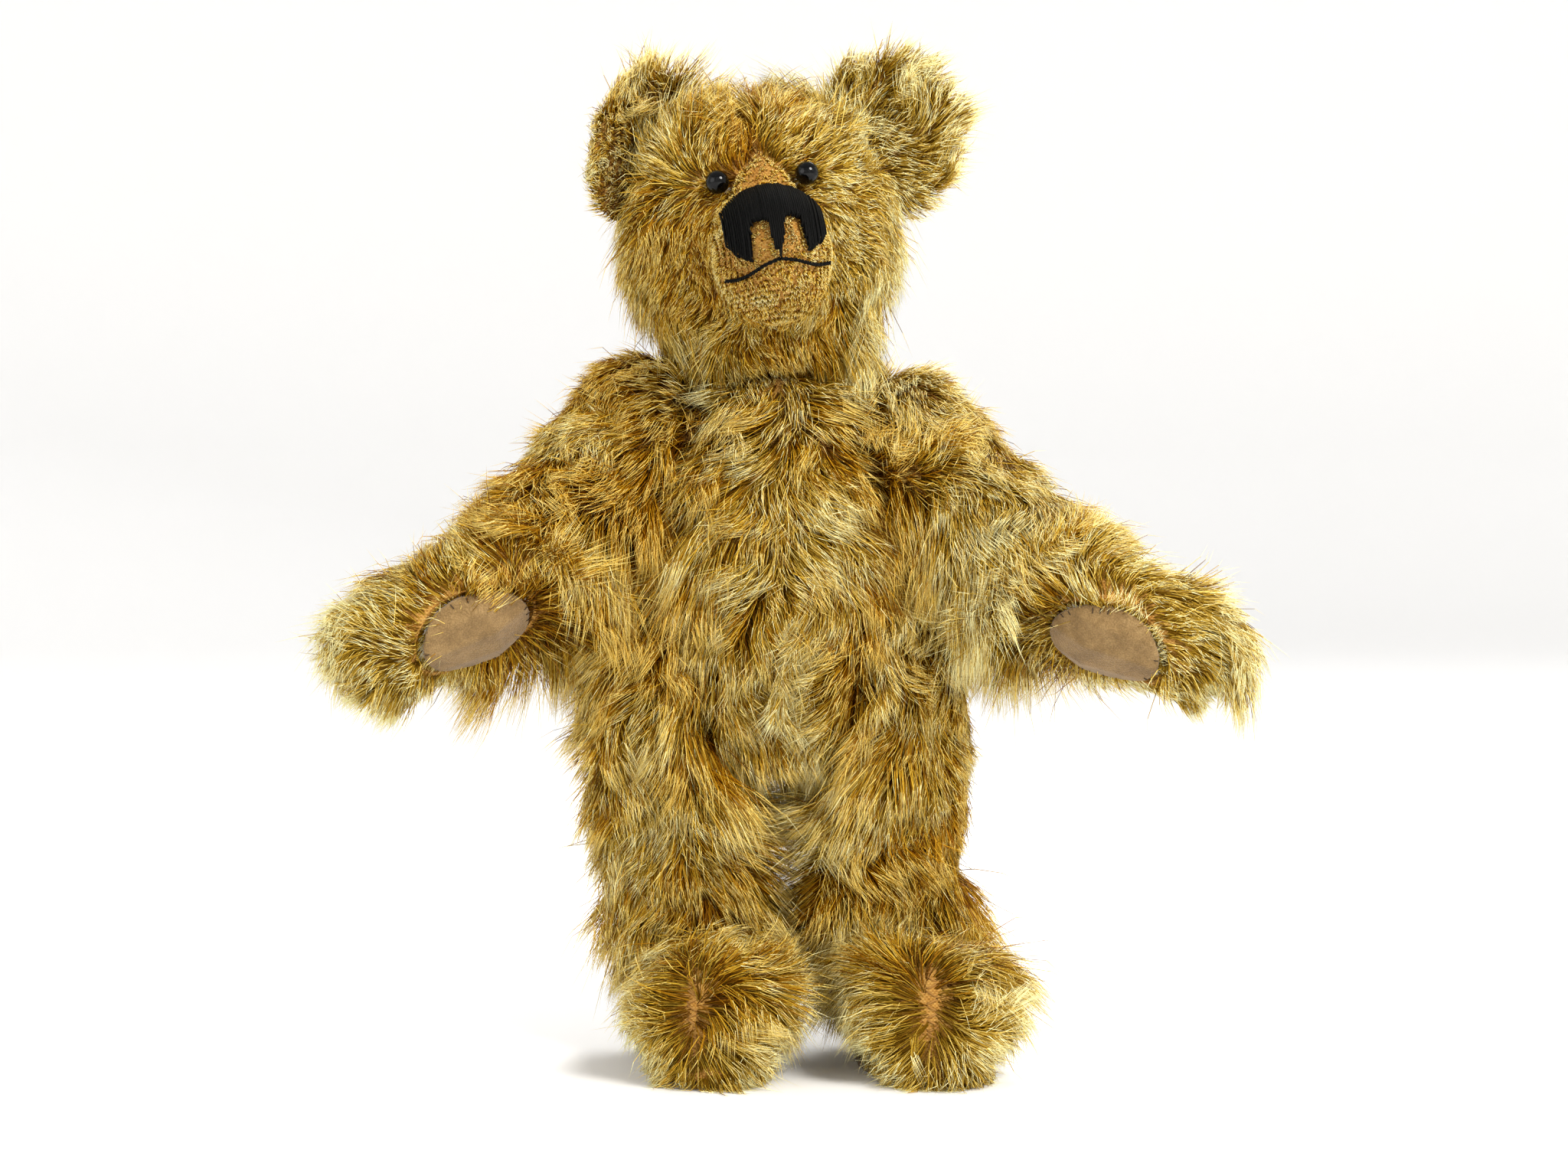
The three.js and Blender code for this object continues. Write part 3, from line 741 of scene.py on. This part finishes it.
def torso_parts(rng, backing, shades):
    nodes = ["torso_shell", "torso_stuffing", "neck_torso_disc"]
    nodes += [f"{kind}_{side}_torso_disc" for kind in ("shoulder", "hip") for side in SIDES]
    obj = skin("torso_skin", nodes, 1.5 * MM)
    shrink(obj, INSET - (INSET - SEAT_INSET) * near_seats(points_of(obj.data), *JOINTS))
    cloth_piece(obj, "torso", backing, "torso_shell")
    low, high = box("torso_shell")
    middle = (low + high) / 2

    def flat(p, n):
        """1 where another part is pressed against the torso."""
        found = smooth_step(p[:, 2], high[2] - 4 * MM, high[2])
        for kind in ("shoulder", "hip"):
            for name, side in SIDES.items():
                found = np.maximum(found, pressed(p, n, f"{kind}_{name}", side, 1))
        return found

    def aside(n):
        return smooth_step(np.abs(n[:, 0]), 0.35, 0.8)

    def length(p, n):
        """Longest high on the sides, and short where a joint presses it."""
        tuft = 1 - smooth_step(p[:, 2], low[2], low[2] + 12 * MM)
        high_up = rising(p[:, 2], 108, 120) * aside(n)
        return (15 + 3 * aside(n) + 5 * high_up - 1.5 * tuft) * (1 - 0.75 * flat(p, n)) * MM

    def lean(p, n):
        collar = rising(p[:, 2], 144, 152)
        hanging = 45 * smooth_step(-n[:, 2], 0.4, 0.8)
        return LEAN - np.maximum(np.maximum(18 * aside(n), 24 * collar) * (1 - flat(p, n)), hanging)

    def flow(p, n):
        """Parted down the chest, and drawn in towards the middle of the belly."""
        to_side = (p[:, 0] - middle[0]) / (20 * MM)
        high_up = rising(p[:, 2], 92, 140)
        way = np.zeros_like(p)
        parted = 1.2 * high_up * (1 - 0.7 * rising(p[:, 2], 138, 150))
        way[:, 0] = np.tanh(to_side * 1.5) * parted - 1.1 * to_side * (1 - high_up)
        way[:, 2] = -1 + 0.35 * high_up
        return way

    # Painted shade: the pile is darker on the torso's sides, where the arms shade it.
    def pale(p):
        return 0.1 - 2.2 * rising(np.abs(p[:, 0] - middle[0] + 2 * MM), 14, 22)

    pile("torso", "torso", obj, even_density, length, flow, rng, shades, lean=lean, pale=pale)


# ---- The head ----


def head_parts(rng, backing, shades, thread):
    nodes = ["head_shell", "head_stuffing", "neck_limb_disc", "neck_limb_washer", "neck_bolt"]
    nodes += [f"eye_shank_{side}" for side in SIDES]
    obj = skin("head_skin", nodes, 1.3 * MM, 20)
    places = points_of(obj.data)
    local = in_head(places)
    reach = muzzle_reach(local)
    on = (1 - smooth_step(reach, 1.0, 1.12)) * falling(local[:, 1], -42, -34)
    exact = MUZZLE_AT + (local - MUZZLE_AT) / np.maximum(reach, 0.5)[:, None] * 0.985
    set_points(obj.data, from_head(local + (exact - local) * on[:, None]))
    bare = bare_face(in_head(points_of(obj.data)))
    inset = INSET - (INSET - SEAT_INSET) * near_seats(points_of(obj.data), "neck")
    shrink(obj, inset * (1 - bare) * (1 - on) + 0.2 * MM * bare)
    cloth_piece(obj, "head", backing, "head_shell")

    eyes = [centre(f"eye_{side}") for side in SIDES]
    face = from_head(MUZZLE_AT + np.array([0, -6, 9]) * MM)

    def clear_of_eyes(p):
        near = np.min([away(p, eye) for eye in eyes], axis=0)
        return rising(near, 3.6, 4.8)

    def cheek(local):
        """1 low on the bear's left cheek, where the pile is longest, and 0.4 on its right one."""
        aside = rising(np.abs(local[:, 0]), 4, 15) * np.where(local[:, 0] > 0, 1, 0.4)
        return aside * falling(local[:, 2], 10, 26)

    def density(p, n):
        return PILE_DENSITY * (1 - bare_face(in_head(p))) * clear_of_eyes(p)

    def length(p, n):
        local = in_head(p)
        from_face = away(local, MUZZLE_AT + np.array([0, -4, 0]) * MM)
        back = smooth_step(n[:, 1], 0.3, 0.8)
        reach = 5 + 9.5 * rising(from_face, 18, 36) + 9 * cheek(local) - 4 * back
        reach = reach + 2 * rising(local[:, 2], 46, 56)
        return reach * (1 - 0.7 * pressed(p, n, "neck", 1, 1)) * MM

    def flow(p, n):
        """Away from the face, and down at the cheeks and the back."""
        outwards = unit(p - face)
        local = in_head(p)
        below = falling(local[:, 2], 34, 50)
        above = rising(local[:, 2], 46, 58)
        back = rising(local[:, 1], -10, 20)
        return outwards + DOWN * (1.5 * below + cheek(local) + 1.2 * back - 0.5 * above * (1 - back))[:, None]

    def lean(p, n):
        return LEAN - 30 * cheek(in_head(p)) * (n[:, 1] < 0.5)

    # Painted light and shade: the pile is paler on the bear's left, the side the key light falls on, and
    # darker under the chin, where the head shades it.
    def pale(p):
        local = in_head(p)
        shade_under_chin = falling(local[:, 2], 2, 12) * falling(np.abs(local[:, 0]), 8, 18)
        return 1.8 * rising(local[:, 0], 6, 22) - shade_under_chin - 0.1

    pile("head", "head", obj, density, length, flow, rng, shades, lean=lean, pale=pale)

    def short_density(p, n):
        local = in_head(p)
        rows = np.cos(2 * math.pi * local / TUFTS)
        tufts = (0.5 + 0.5 * rows[:, 0]) * (0.5 + 0.5 * rows[:, 2])
        return CLIPPED_DENSITY * tufts * (bare_face(local) > 0.4) * clear_of_eyes(p)

    def short_length(p, n):
        return np.full(len(p), CLIPPED)

    pile(
        "muzzle", "head", obj, short_density, short_length, lambda p, n: p - face, rng, shades,
        width=0.24, lean=24, clump=0.4, frizz=0.1, droop=0.1,
    )
    nose_threads(thread)
    for name, side in SIDES.items():
        ear_parts(name, rng, backing, shades)
        mouth_thread(name, side, thread)
        eye_bead(name)


def ear_parts(side, rng, backing, shades):
    node = f"ear_{side}"
    obj = skin(f"{node}_skin", [node], 0.9 * MM, 12)
    shrink(obj, 1.6 * MM)
    cloth_piece(obj, "head", backing, node)
    base = centre(node) * 0.45 + 0.55 * from_head(np.array([0, -3, 34.5]) * MM)
    longer_to = np.array([0.95, 0, 0.3]) * (side == "right")

    def length(p, n):
        outer = rising(away(p, base), 16, 34)
        return (7 + 5 * outer + 6 * np.tanh((p - centre(node)) @ longer_to / (8 * MM))) * MM

    # Painted light: the left ear, on the key light's side, is paler than the right.
    def pale(p):
        return np.full(len(p), 1.8 if side == "left" else 0.1)

    pile(
        node, "head", obj, even_density, length, lambda p, n: p - base, rng, shades,
        lean=58, droop=0.12, pale=pale,
    )


# ---- The arms and legs ----

PAD_REACH = 12 * MM  # how far from a pad its distance matters


def arm_parts(name, side, rng, backing, shades, felt):
    arm = f"arm_{name}"
    obj = limb_skin(arm, f"shoulder_{name}", [f"{arm}_paw_pad"])
    pad_tree = tree_of(NODES[f"{arm}_paw_pad"].data)
    places = points_of(obj.data)
    near_pad = falling(distance_to(pad_tree, places, PAD_REACH), 1, 3)
    shrink(obj, INSET + 1.2 * MM * near_pad - (INSET - SEAT_INSET) * near_seats(places, f"shoulder_{name}"))
    cloth_piece(obj, arm, backing, f"{arm}_shell")
    shoulder, outwards = seat(f"shoulder_{name}", side)
    pad = centre(f"{arm}_paw_pad")
    along = unit(pad - shoulder)

    def density(p, n):
        return PILE_DENSITY * rising(distance_to(pad_tree, p, PAD_REACH), 1.3, 2)

    def flat(p, n):
        """1 where the arm is pressed against the torso."""
        return pressed(p, n, f"shoulder_{name}", side, -1)

    def inner(n):
        """1 where the cloth faces the torso."""
        return smooth_step(-(n @ outwards), 0.1, 0.6)

    def under(n):
        """1 where the cloth faces down."""
        return smooth_step(-n[:, 2], 0.0, 0.7)

    def below_pad(p, n):
        """1 under the pad's end nearer the shoulder, where a long lock hangs."""
        lower = rising((pad - p)[:, 2], 4, 8) * under(n)
        return lower * falling((p - pad) @ along, -7, 3)

    def length(p, n):
        from_pad = distance_to(pad_tree, p, PAD_REACH)
        top = smooth_step(n[:, 2], 0.2, 0.7) * rising(p[:, 2], 95, 110)
        near_shoulder = falling(away(p, shoulder), 30, 50)
        run = (p - shoulder) @ along
        fringe = 11 * under(n) * falling(run, 66, 82)
        end = smooth_step(n @ along, 0.3, 0.8) * (1 - under(n))
        tip = (4 * end - 9 * under(n) if side > 0 else -3 * under(n)) * rising(run, 78, 86)
        hem = (16 if side > 0 else 8) * below_pad(p, n)
        reach = 14 + 3 * inner(n) + np.maximum(fringe, hem) - 3 * top * near_shoulder + tip
        return reach * (1 - 0.75 * flat(p, n)) * (0.65 + 0.35 * rising(from_pad, 2, 8)) * MM

    def lean(p, n):
        by_pad = falling(distance_to(pad_tree, p, 20 * MM), 3, 16)
        rim = falling(distance_to(pad_tree, p, PAD_REACH), 5, 10)
        by_pad = np.maximum(by_pad * (1 - under(n)), rim * (1 - 0.8 * below_pad(p, n)))
        upright = (18 * inner(n) + 12 * under(n)) * (1 - flat(p, n)) * (1 - by_pad)
        return LEAN + 14 * by_pad - np.maximum(upright, 45 * below_pad(p, n))

    def flow(p, n):
        """Away from the pad, down the rest of the arm, and out over the top of the shoulder."""
        out = p - pad
        run = (out * along).sum(1)
        out = out - along * np.minimum(run, 0)[:, None] * 0.9
        near = falling(away(p, pad), 20, 34)
        cap = falling(away(p, shoulder), 18, 36)[:, None]
        fall = along + DOWN * (0.6 - 0.5 * cap) + outwards * 0.8 * cap
        hang = below_pad(p, n)[:, None]
        way = unit(out) * near[:, None] + fall * (1 - near)[:, None]
        return way * (1 - hang) + (along * 0.8 + DOWN) * hang

    # Painted light and shade: the left arm, on the key light's side, is paler than the right, and the pile is
    # darker on the inside, where the arm meets the torso. Towards the paw end it gets paler.
    def pale(p):
        inside = falling((p - shoulder) @ outwards, 1, 9)
        run = (p - shoulder) @ along
        upper = 0.5 * rising(run, 15, 45) - 0.1 if side > 0 else -0.8
        return upper + 1.9 * rising(run, 60, 88) - 1.4 * inside

    pile(arm, arm, obj, density, length, flow, rng, shades, split=along, lean=lean, pale=pale)
    felt_pad(f"{arm}_paw_pad", arm, felt)
    pad_stitches(f"{arm}_paw_pad", arm, pad - centre(f"{arm}_shell"))


def leg_parts(name, side, rng, backing, shades, felt):
    leg = f"leg_{name}"
    obj = limb_skin(leg, f"hip_{name}", [f"{leg}_insole"])
    places, normals = points_of(obj.data), normals_of(obj.data)
    sole = smooth_step(-normals[:, 2], 0.5, 0.8) * (places[:, 2] < 8 * MM)
    inset = INSET - (INSET - SEAT_INSET) * near_seats(places, f"hip_{name}")
    shrink(obj, inset * (1 - sole) - 0.1 * MM * sole)
    cloth_piece(obj, leg, backing, f"{leg}_shell")
    low, high = box(f"{leg}_foot_pad")
    toe = np.array([(low[0] + high[0]) / 2 + side * 2 * MM, low[1] - 6 * MM, 17 * MM])

    def density(p, n):
        """None on the sole and on the worn seam of the toe, and more where the legs meet."""
        under = smooth_step(-n[:, 2], 0.55, 0.8) * (p[:, 2] < 8 * MM)
        worn = (0.85 if side > 0 else 0.4) * MM * (0.8 + 0.4 * np.sin(p[:, 2] / (2.6 * MM)))
        seam = np.abs(p[:, 0] - toe[0] + side * 0.4 * MM) / worn
        high_enough = rising(p[:, 2], 7, 10) * (p[:, 2] < 27 * MM)
        bare = (1 - smooth_step(seam, 0.7, 1.2)) * (p[:, 1] < low[1] + 6 * MM) * high_enough
        return PILE_DENSITY * (1 - under) * (1 - bare) * (1 + 0.7 * crotch(p, n))

    def flat(p, n):
        """1 where the leg is pressed against the torso."""
        return pressed(p, n, f"hip_{name}", side, -1) * rising(p[:, 2], 70, 80)

    def inner(n):
        """1 where the cloth faces the other leg."""
        return smooth_step(-n[:, 0] * side, 0.2, 0.7)

    def outer(n):
        """1 where it faces the other way."""
        return smooth_step(n[:, 0] * side, 0.2, 0.7)

    def foot(p):
        """1 at the floor, 0 from the ankle up."""
        return falling(p[:, 2], 6, 32)

    def crotch(p, n):
        """1 high on the inside of the thigh, where long pile closes the gap below the torso."""
        return inner(n) * rising(p[:, 2], 50, 62)

    def shank(p):
        """How much longer the pile is on the outside of the ankle, and above it, in millimetres."""
        above = rising(p[:, 2], 38, 50)
        return 10 - 15 * above if side > 0 else 9 - 6 * above

    def length(p, n):
        near_floor = falling(p[:, 2], 3, 16)
        beside = np.maximum(inner(n), (0.4 if side > 0 else 0.9) * outer(n))
        beside = beside * falling(p[:, 2], 6, 24)
        ankle = 1 - foot(p) if side > 0 else rising(p[:, 2], 24, 36)
        toes = 4 * foot(p) * smooth_step(-n[:, 1], 0.2, 0.7)
        reach = 14 + toes + (5 - 6 * foot(p)) * inner(n) + 8 * crotch(p, n) + outer(n) * shank(p) * ankle
        return reach * (1 - 0.75 * flat(p, n)) * (1 - 0.35 * near_floor) * (1 - 0.4 * beside) * MM

    def lean(p, n):
        upright = 40 * inner(n) * (1 - foot(p)) + 12 * outer(n) * (shank(p) > 0)
        return LEAN + 10 * foot(p) - upright * (1 - flat(p, n)) * (1 - foot(p))

    def flow(p, n):
        """Away from the seam on the toes, and down the rest of the leg."""
        seam = np.tile(toe, (len(p), 1))
        seam[:, 2] = np.clip(p[:, 2], 9 * MM, 26 * MM)
        out = p - seam
        near = falling(away(p, toe), 18, 40)
        fall = np.array([side * 0.15, 0, -1]) * (1 - 0.9 * crotch(p, n))[:, None]
        way = unit(out) * near[:, None] + fall * (1.05 - near)[:, None]
        way[:, 2] = way[:, 2] * rising(p[:, 2], -4, 12) - 0.5 * foot(p)
        return way

    def pale(p):
        return -0.4 + 2.2 * foot(p)

    pile(leg, leg, obj, density, length, flow, rng, shades, lean=lean, pale=pale, droop=0.4, clump=0.68)
    felt_pad(f"{leg}_foot_pad", leg, felt)
    toe_seam(leg, obj, toe)


# ---- Threads, eyes and pads ----

FACE_THREAD = 0.27 * MM  # radius of one ply of the black thread
TWISTS = 9  # of the two plies round each other, over a stitch of the mouth
SATIN_PITCH = 0.46 * MM  # from one stitch of the nose to the next
NOSE_LIFT = 1.3 * MM  # how far the nose's stitches lie out from the middle of the muzzle's surface
SEAM_PITCH = 1.5 * MM  # from one stitch of the toe's seam to the next
BEAD_RINGS, BEAD_SIDES = 24, 32  # faces on a bead, from pole to pole and round it


def tubes(name, paths, radius, sides=6):
    """One mesh of closed round threads, each along its own path."""
    places, faces = [], []
    for path in paths:
        path = np.asarray(path)
        tangent = unit(np.gradient(path, axis=0))
        side = np.cross(tangent[0], [0.3, 0.2, 0.9])
        first = len(places)
        for point, way in zip(path, tangent):
            side = unit(side - way * (side @ way))
            other = np.cross(way, side)
            for i in range(sides):
                turn = 2 * math.pi * i / sides
                places.append(point + radius * (math.cos(turn) * side + math.sin(turn) * other))
        for k in range(len(path) - 1):
            for i in range(sides):
                j = (i + 1) % sides
                a, b = first + k * sides, first + (k + 1) * sides
                faces.append((a + i, a + j, b + j, b + i))
        faces.append(tuple(first + i for i in reversed(range(sides))))
        faces.append(tuple(len(places) - sides + i for i in range(sides)))
    sizes = [len(face) for face in faces]
    return build_mesh(name, np.array(places), sizes, np.concatenate(faces))


def add_threads(name, paths, radius, material, body, slot, *replaced):
    """A piece of closed round threads."""
    finish_piece(link(tubes(name, paths, radius), material), body, slot, *replaced)


def nose_threads(thread):
    """Satin stitches, one thread beside another over the muzzle, wherever the CAD layer lies under them."""
    layer = NODES["nose_embroidery"]
    tree = tree_of(layer.data)
    local = in_head(points_of(layer.data))
    top = MUZZLE_HALF + NOSE_LIFT
    rng = np.random.default_rng(31)
    paths = []
    for x in np.arange(local[:, 0].min() + SATIN_PITCH / 2, local[:, 0].max(), SATIN_PITCH):
        across = math.sqrt(max(1 - (x / top[0]) ** 2, 0))
        lift = rng.uniform(-0.1, 0.15) * MM
        run = []
        for angle in np.radians(np.arange(-40, 88, 1.5)):
            y, z = -top[1] * across * math.cos(angle), top[2] * across * math.sin(angle)
            at = MUZZLE_AT + np.array([x, y, z])
            facing = unit((at - MUZZLE_AT) / top**2) @ HEAD_AXES
            start = from_head(at) + facing * 1.5 * MM
            if tree.ray_cast(Vector(start), Vector(-facing), 3 * MM)[0] is not None:
                run.append(from_head(at) + facing * lift)
                inward = -facing
            elif run:
                paths.append((run, inward))
                run = []
        if run:
            paths.append((run, inward))
    whole = []
    for run, inward in paths:
        if len(run) > 2:
            whole.append([run[0] + inward * MM, *run, run[-1] + inward * MM])
    for aside in (0.15, 0.6):  # from the foot of the bar down to where the mouth's stitches meet
        link_stitch = []
        for share in np.linspace(0, 1, 8):
            x, z = aside * MM * (1 - share), (0.6 - 3.5 * share) * MM
            y = -(top[1] - 0.1 * MM) * math.sqrt(1 - (x / top[0]) ** 2 - (z / top[2]) ** 2)
            link_stitch.append(from_head(MUZZLE_AT + np.array([x, y, z])))
        whole.append(link_stitch)
    add_threads("nose_threads", whole, FACE_THREAD, thread, "head", "black_thread")
    repaint(layer, thread)


def mouth_thread(name, side, thread):
    """The long stitch at one side of the mouth: two plies twisted round its CAD centre line."""
    node = f"mouth_stitch_{name}"
    local = in_head(points_of(NODES[node].data))
    order = np.argsort(local[:, 0] * side)
    line = np.array([group.mean(0) for group in np.array_split(local[order], 7)])
    reach = local[order[[0, -1]]]
    line[0, 0], line[-1, 0] = 0.1 * MM * side, reach[1, 0]
    count = 60
    share = np.linspace(0, 1, count)
    run = np.linspace(0, 1, len(line))
    path = np.stack([np.interp(share, run, line[:, axis]) for axis in range(3)], 1)
    for _ in range(12):
        path[1:-1] = (path[:-2] + 2 * path[1:-1] + path[2:]) / 4
    lift = 1.8 * share**1.5 if side > 0 else -0.6 * np.sin(math.pi * share)
    path[:, 2] += lift * MM
    tangent = unit(np.gradient(path, axis=0))
    across = unit(np.cross(tangent, BACK))
    out = np.cross(across, tangent)
    turn = share * 2 * math.pi * TWISTS
    plies = []
    for start in (0, math.pi):
        around = np.cos(turn + start)[:, None] * across + np.sin(turn + start)[:, None] * out
        plies.append(from_head(path + around * FACE_THREAD * 0.8))
    add_threads(f"mouth_thread_{name}", plies, FACE_THREAD, thread, "head", "black_thread", node)


def eye_bead(name):
    """A polished black glass bead."""
    node = f"eye_{name}"
    low, high = box(node)
    radius = max(high - low) / 2
    glass = shared("polished_glass", linear(4, 4, 4), 0.03, Specular_IOR_Level=0.22)
    steps = [math.pi * i / BEAD_RINGS for i in range(1, BEAD_RINGS)]
    profile = [(math.sin(step) * radius, math.cos(step) * radius) for step in steps]
    profile = [(0, radius), *profile, (0, -radius)]
    bead = turned(f"eye_bead_{name}", profile, BEAD_SIDES, centre(node))
    finish_piece(link(bead, glass), "head", "black_glass", node)


def laid(tree, starts, way, lifts):
    """The points of a stitch laid on the surface that lies along way from its starts."""
    hits = [tree.ray_cast(Vector(start), Vector(way))[0] for start in starts]
    return [np.array(hit) - way * lift * MM for hit, lift in zip(hits, lifts) if hit is not None]


def toe_seam(leg, cloth, toe):
    """The seam up the middle of the toe: small stitches over the bare backing."""
    tree = tree_of(cloth.data)
    stitches = []
    for i, z in enumerate(np.arange(5 * MM, 30 * MM, SEAM_PITCH)):
        slant = 0.5 * MM * (-1) ** i
        across = ((-1.2, -1), (-0.5, -0.5), (0.5, 0.5), (1.2, 1))
        starts = [(toe[0] + x * MM, -0.2, z + up * slant) for x, up in across]
        stitches.append(laid(tree, starts, BACK, (-0.2, 0.25, 0.25, -0.2)))
    stitches = [stitch for stitch in stitches if len(stitch) == 4]
    thread = shared("seam_thread", linear(150, 106, 44), 0.9)
    add_threads(f"{leg}_toe_stitches", stitches, 0.24 * MM, thread, leg, "mohair")


def felt_pad(node, body, felt):
    obj = skin(f"{node}_felt", [node], 0.5 * MM, 6)
    obj.data.materials.append(felt)
    finish_piece(obj, body, "felt", node)


def pad_stitches(node, body, outwards):
    """Small dark stitches across the edge of a felt pad."""
    pad = NODES[node].data
    places = points_of(pad)
    middle = centre(node)
    axes = np.linalg.svd(places - places.mean(0), full_matrices=False)[2]
    normal = axes[2] * np.sign(axes[2] @ outwards)
    flat = (places - middle) @ axes[:2].T
    angles = np.arctan2(flat[:, 1], flat[:, 0])
    tree = tree_of(pad)
    stitches = []
    for angle in np.radians(np.arange(0, 360, 10)):
        near = np.abs(np.angle(np.exp(1j * (angles - angle)))) < math.radians(10)
        rim = np.linalg.norm(flat[near], axis=1).max()
        way = math.cos(angle) * axes[0] + math.sin(angle) * axes[1]
        starts = [middle + way * (rim - depth * MM) + normal * 10 * MM for depth in (1.1, 0.8, 0.5, 0.1)]
        stitches.append(laid(tree, starts, -normal, (0.02, 0.14, 0.14, 0.14)))
    stitches = [stitch for stitch in stitches if len(stitch) == 4]
    brown = shared("brown_thread", linear(58, 42, 24), 0.9)
    add_threads(f"{node}_stitches", stitches, 0.14 * MM, brown, body, "felt")


def inner_parts():
    """The hardware in its CAD shape, and the stuffing, smoothed."""
    kapok = stuffing_material()
    hardboard = board_material("hardboard", linear(104, 74, 44), linear(146, 110, 72))
    card = board_material("grey_board", linear(160, 134, 96), linear(196, 172, 132))
    steel = steel_material()
    kinds = {"disc": hardboard, "insole": card, **dict.fromkeys(("washer", "bolt", "nut", "shank"), steel)}
    for node, obj in NODES.items():
        for word, material in kinds.items():
            if word in node:
                repaint(obj, material)
        if node.endswith("stuffing"):
            fill = skin(f"{node}_fill", [node], 2.5 * MM, 4)
            fill.data.materials.append(kapok)
            finish_piece(fill, node.replace("_stuffing", ""), "stuffing", node)


# ---- Studio ----


LIT = Vector((0, 0, 0.12))  # what the lights point at
FLOOR_PROFILE = [(0, 0), (0.6, 0), (1.2, 0), (1.6, 0.06), (1.9, 0.25), (2.05, 0.55), (2.1, 1.0), (2.1, 2.0)]
FLOOR_SIDES = 64


def area_light(name, place, size, power, colour=(1, 1, 1)):
    data = bpy.data.lights.new(name, "AREA")
    data.shape = "DISK"
    data.size = size
    data.energy = power
    data.color = colour
    light = bpy.data.objects.new(name, data)
    light.location = place
    light.rotation_euler = (LIT - Vector(place)).to_track_quat("-Z", "Y").to_euler()
    bpy.context.scene.collection.objects.link(light)


def studio():
    """White paper that curves up all round the bear, three lights and an even white sky."""
    scene = bpy.context.scene
    scene.view_settings.view_transform = "Standard"
    scene.view_settings.look = "None"
    world = bpy.data.worlds.new("studio")
    scene.world = world
    world.use_nodes = True
    background = world.node_tree.nodes["Background"]
    background.inputs["Color"].default_value = (1, 1, 1, 1)
    background.inputs["Strength"].default_value = 0.48
    area_light("key", (0.75, -0.9, 1.0), 0.6, 24, (1, 0.97, 0.92))
    area_light("fill", (-0.9, -0.8, 0.5), 0.9, 4)
    area_light("rim", (0.3, 0.9, 0.9), 0.6, 9)
    paper = plain("floor_paper", (0.97, 0.97, 0.97, 1), 0.9)
    link(turned("floor", FLOOR_PROFILE, FLOOR_SIDES), paper)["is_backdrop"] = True


# ---- The whole bear ----


def main():
    make_camera()
    rng = np.random.default_rng(1907)
    backing, felt, thread = backing_material(), felt_material(), thread_material()
    shades = pile_materials()
    torso_parts(rng, backing, shades)
    head_parts(rng, backing, shades, thread)
    for name, side in SIDES.items():
        arm_parts(name, side, rng, backing, shades, felt)
        leg_parts(name, side, rng, backing, shades, felt)
    inner_parts()
    studio()
    bounds = [CAD_BOX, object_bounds()]
    [[list(corner) for corner in box] for box in bounds]


main()
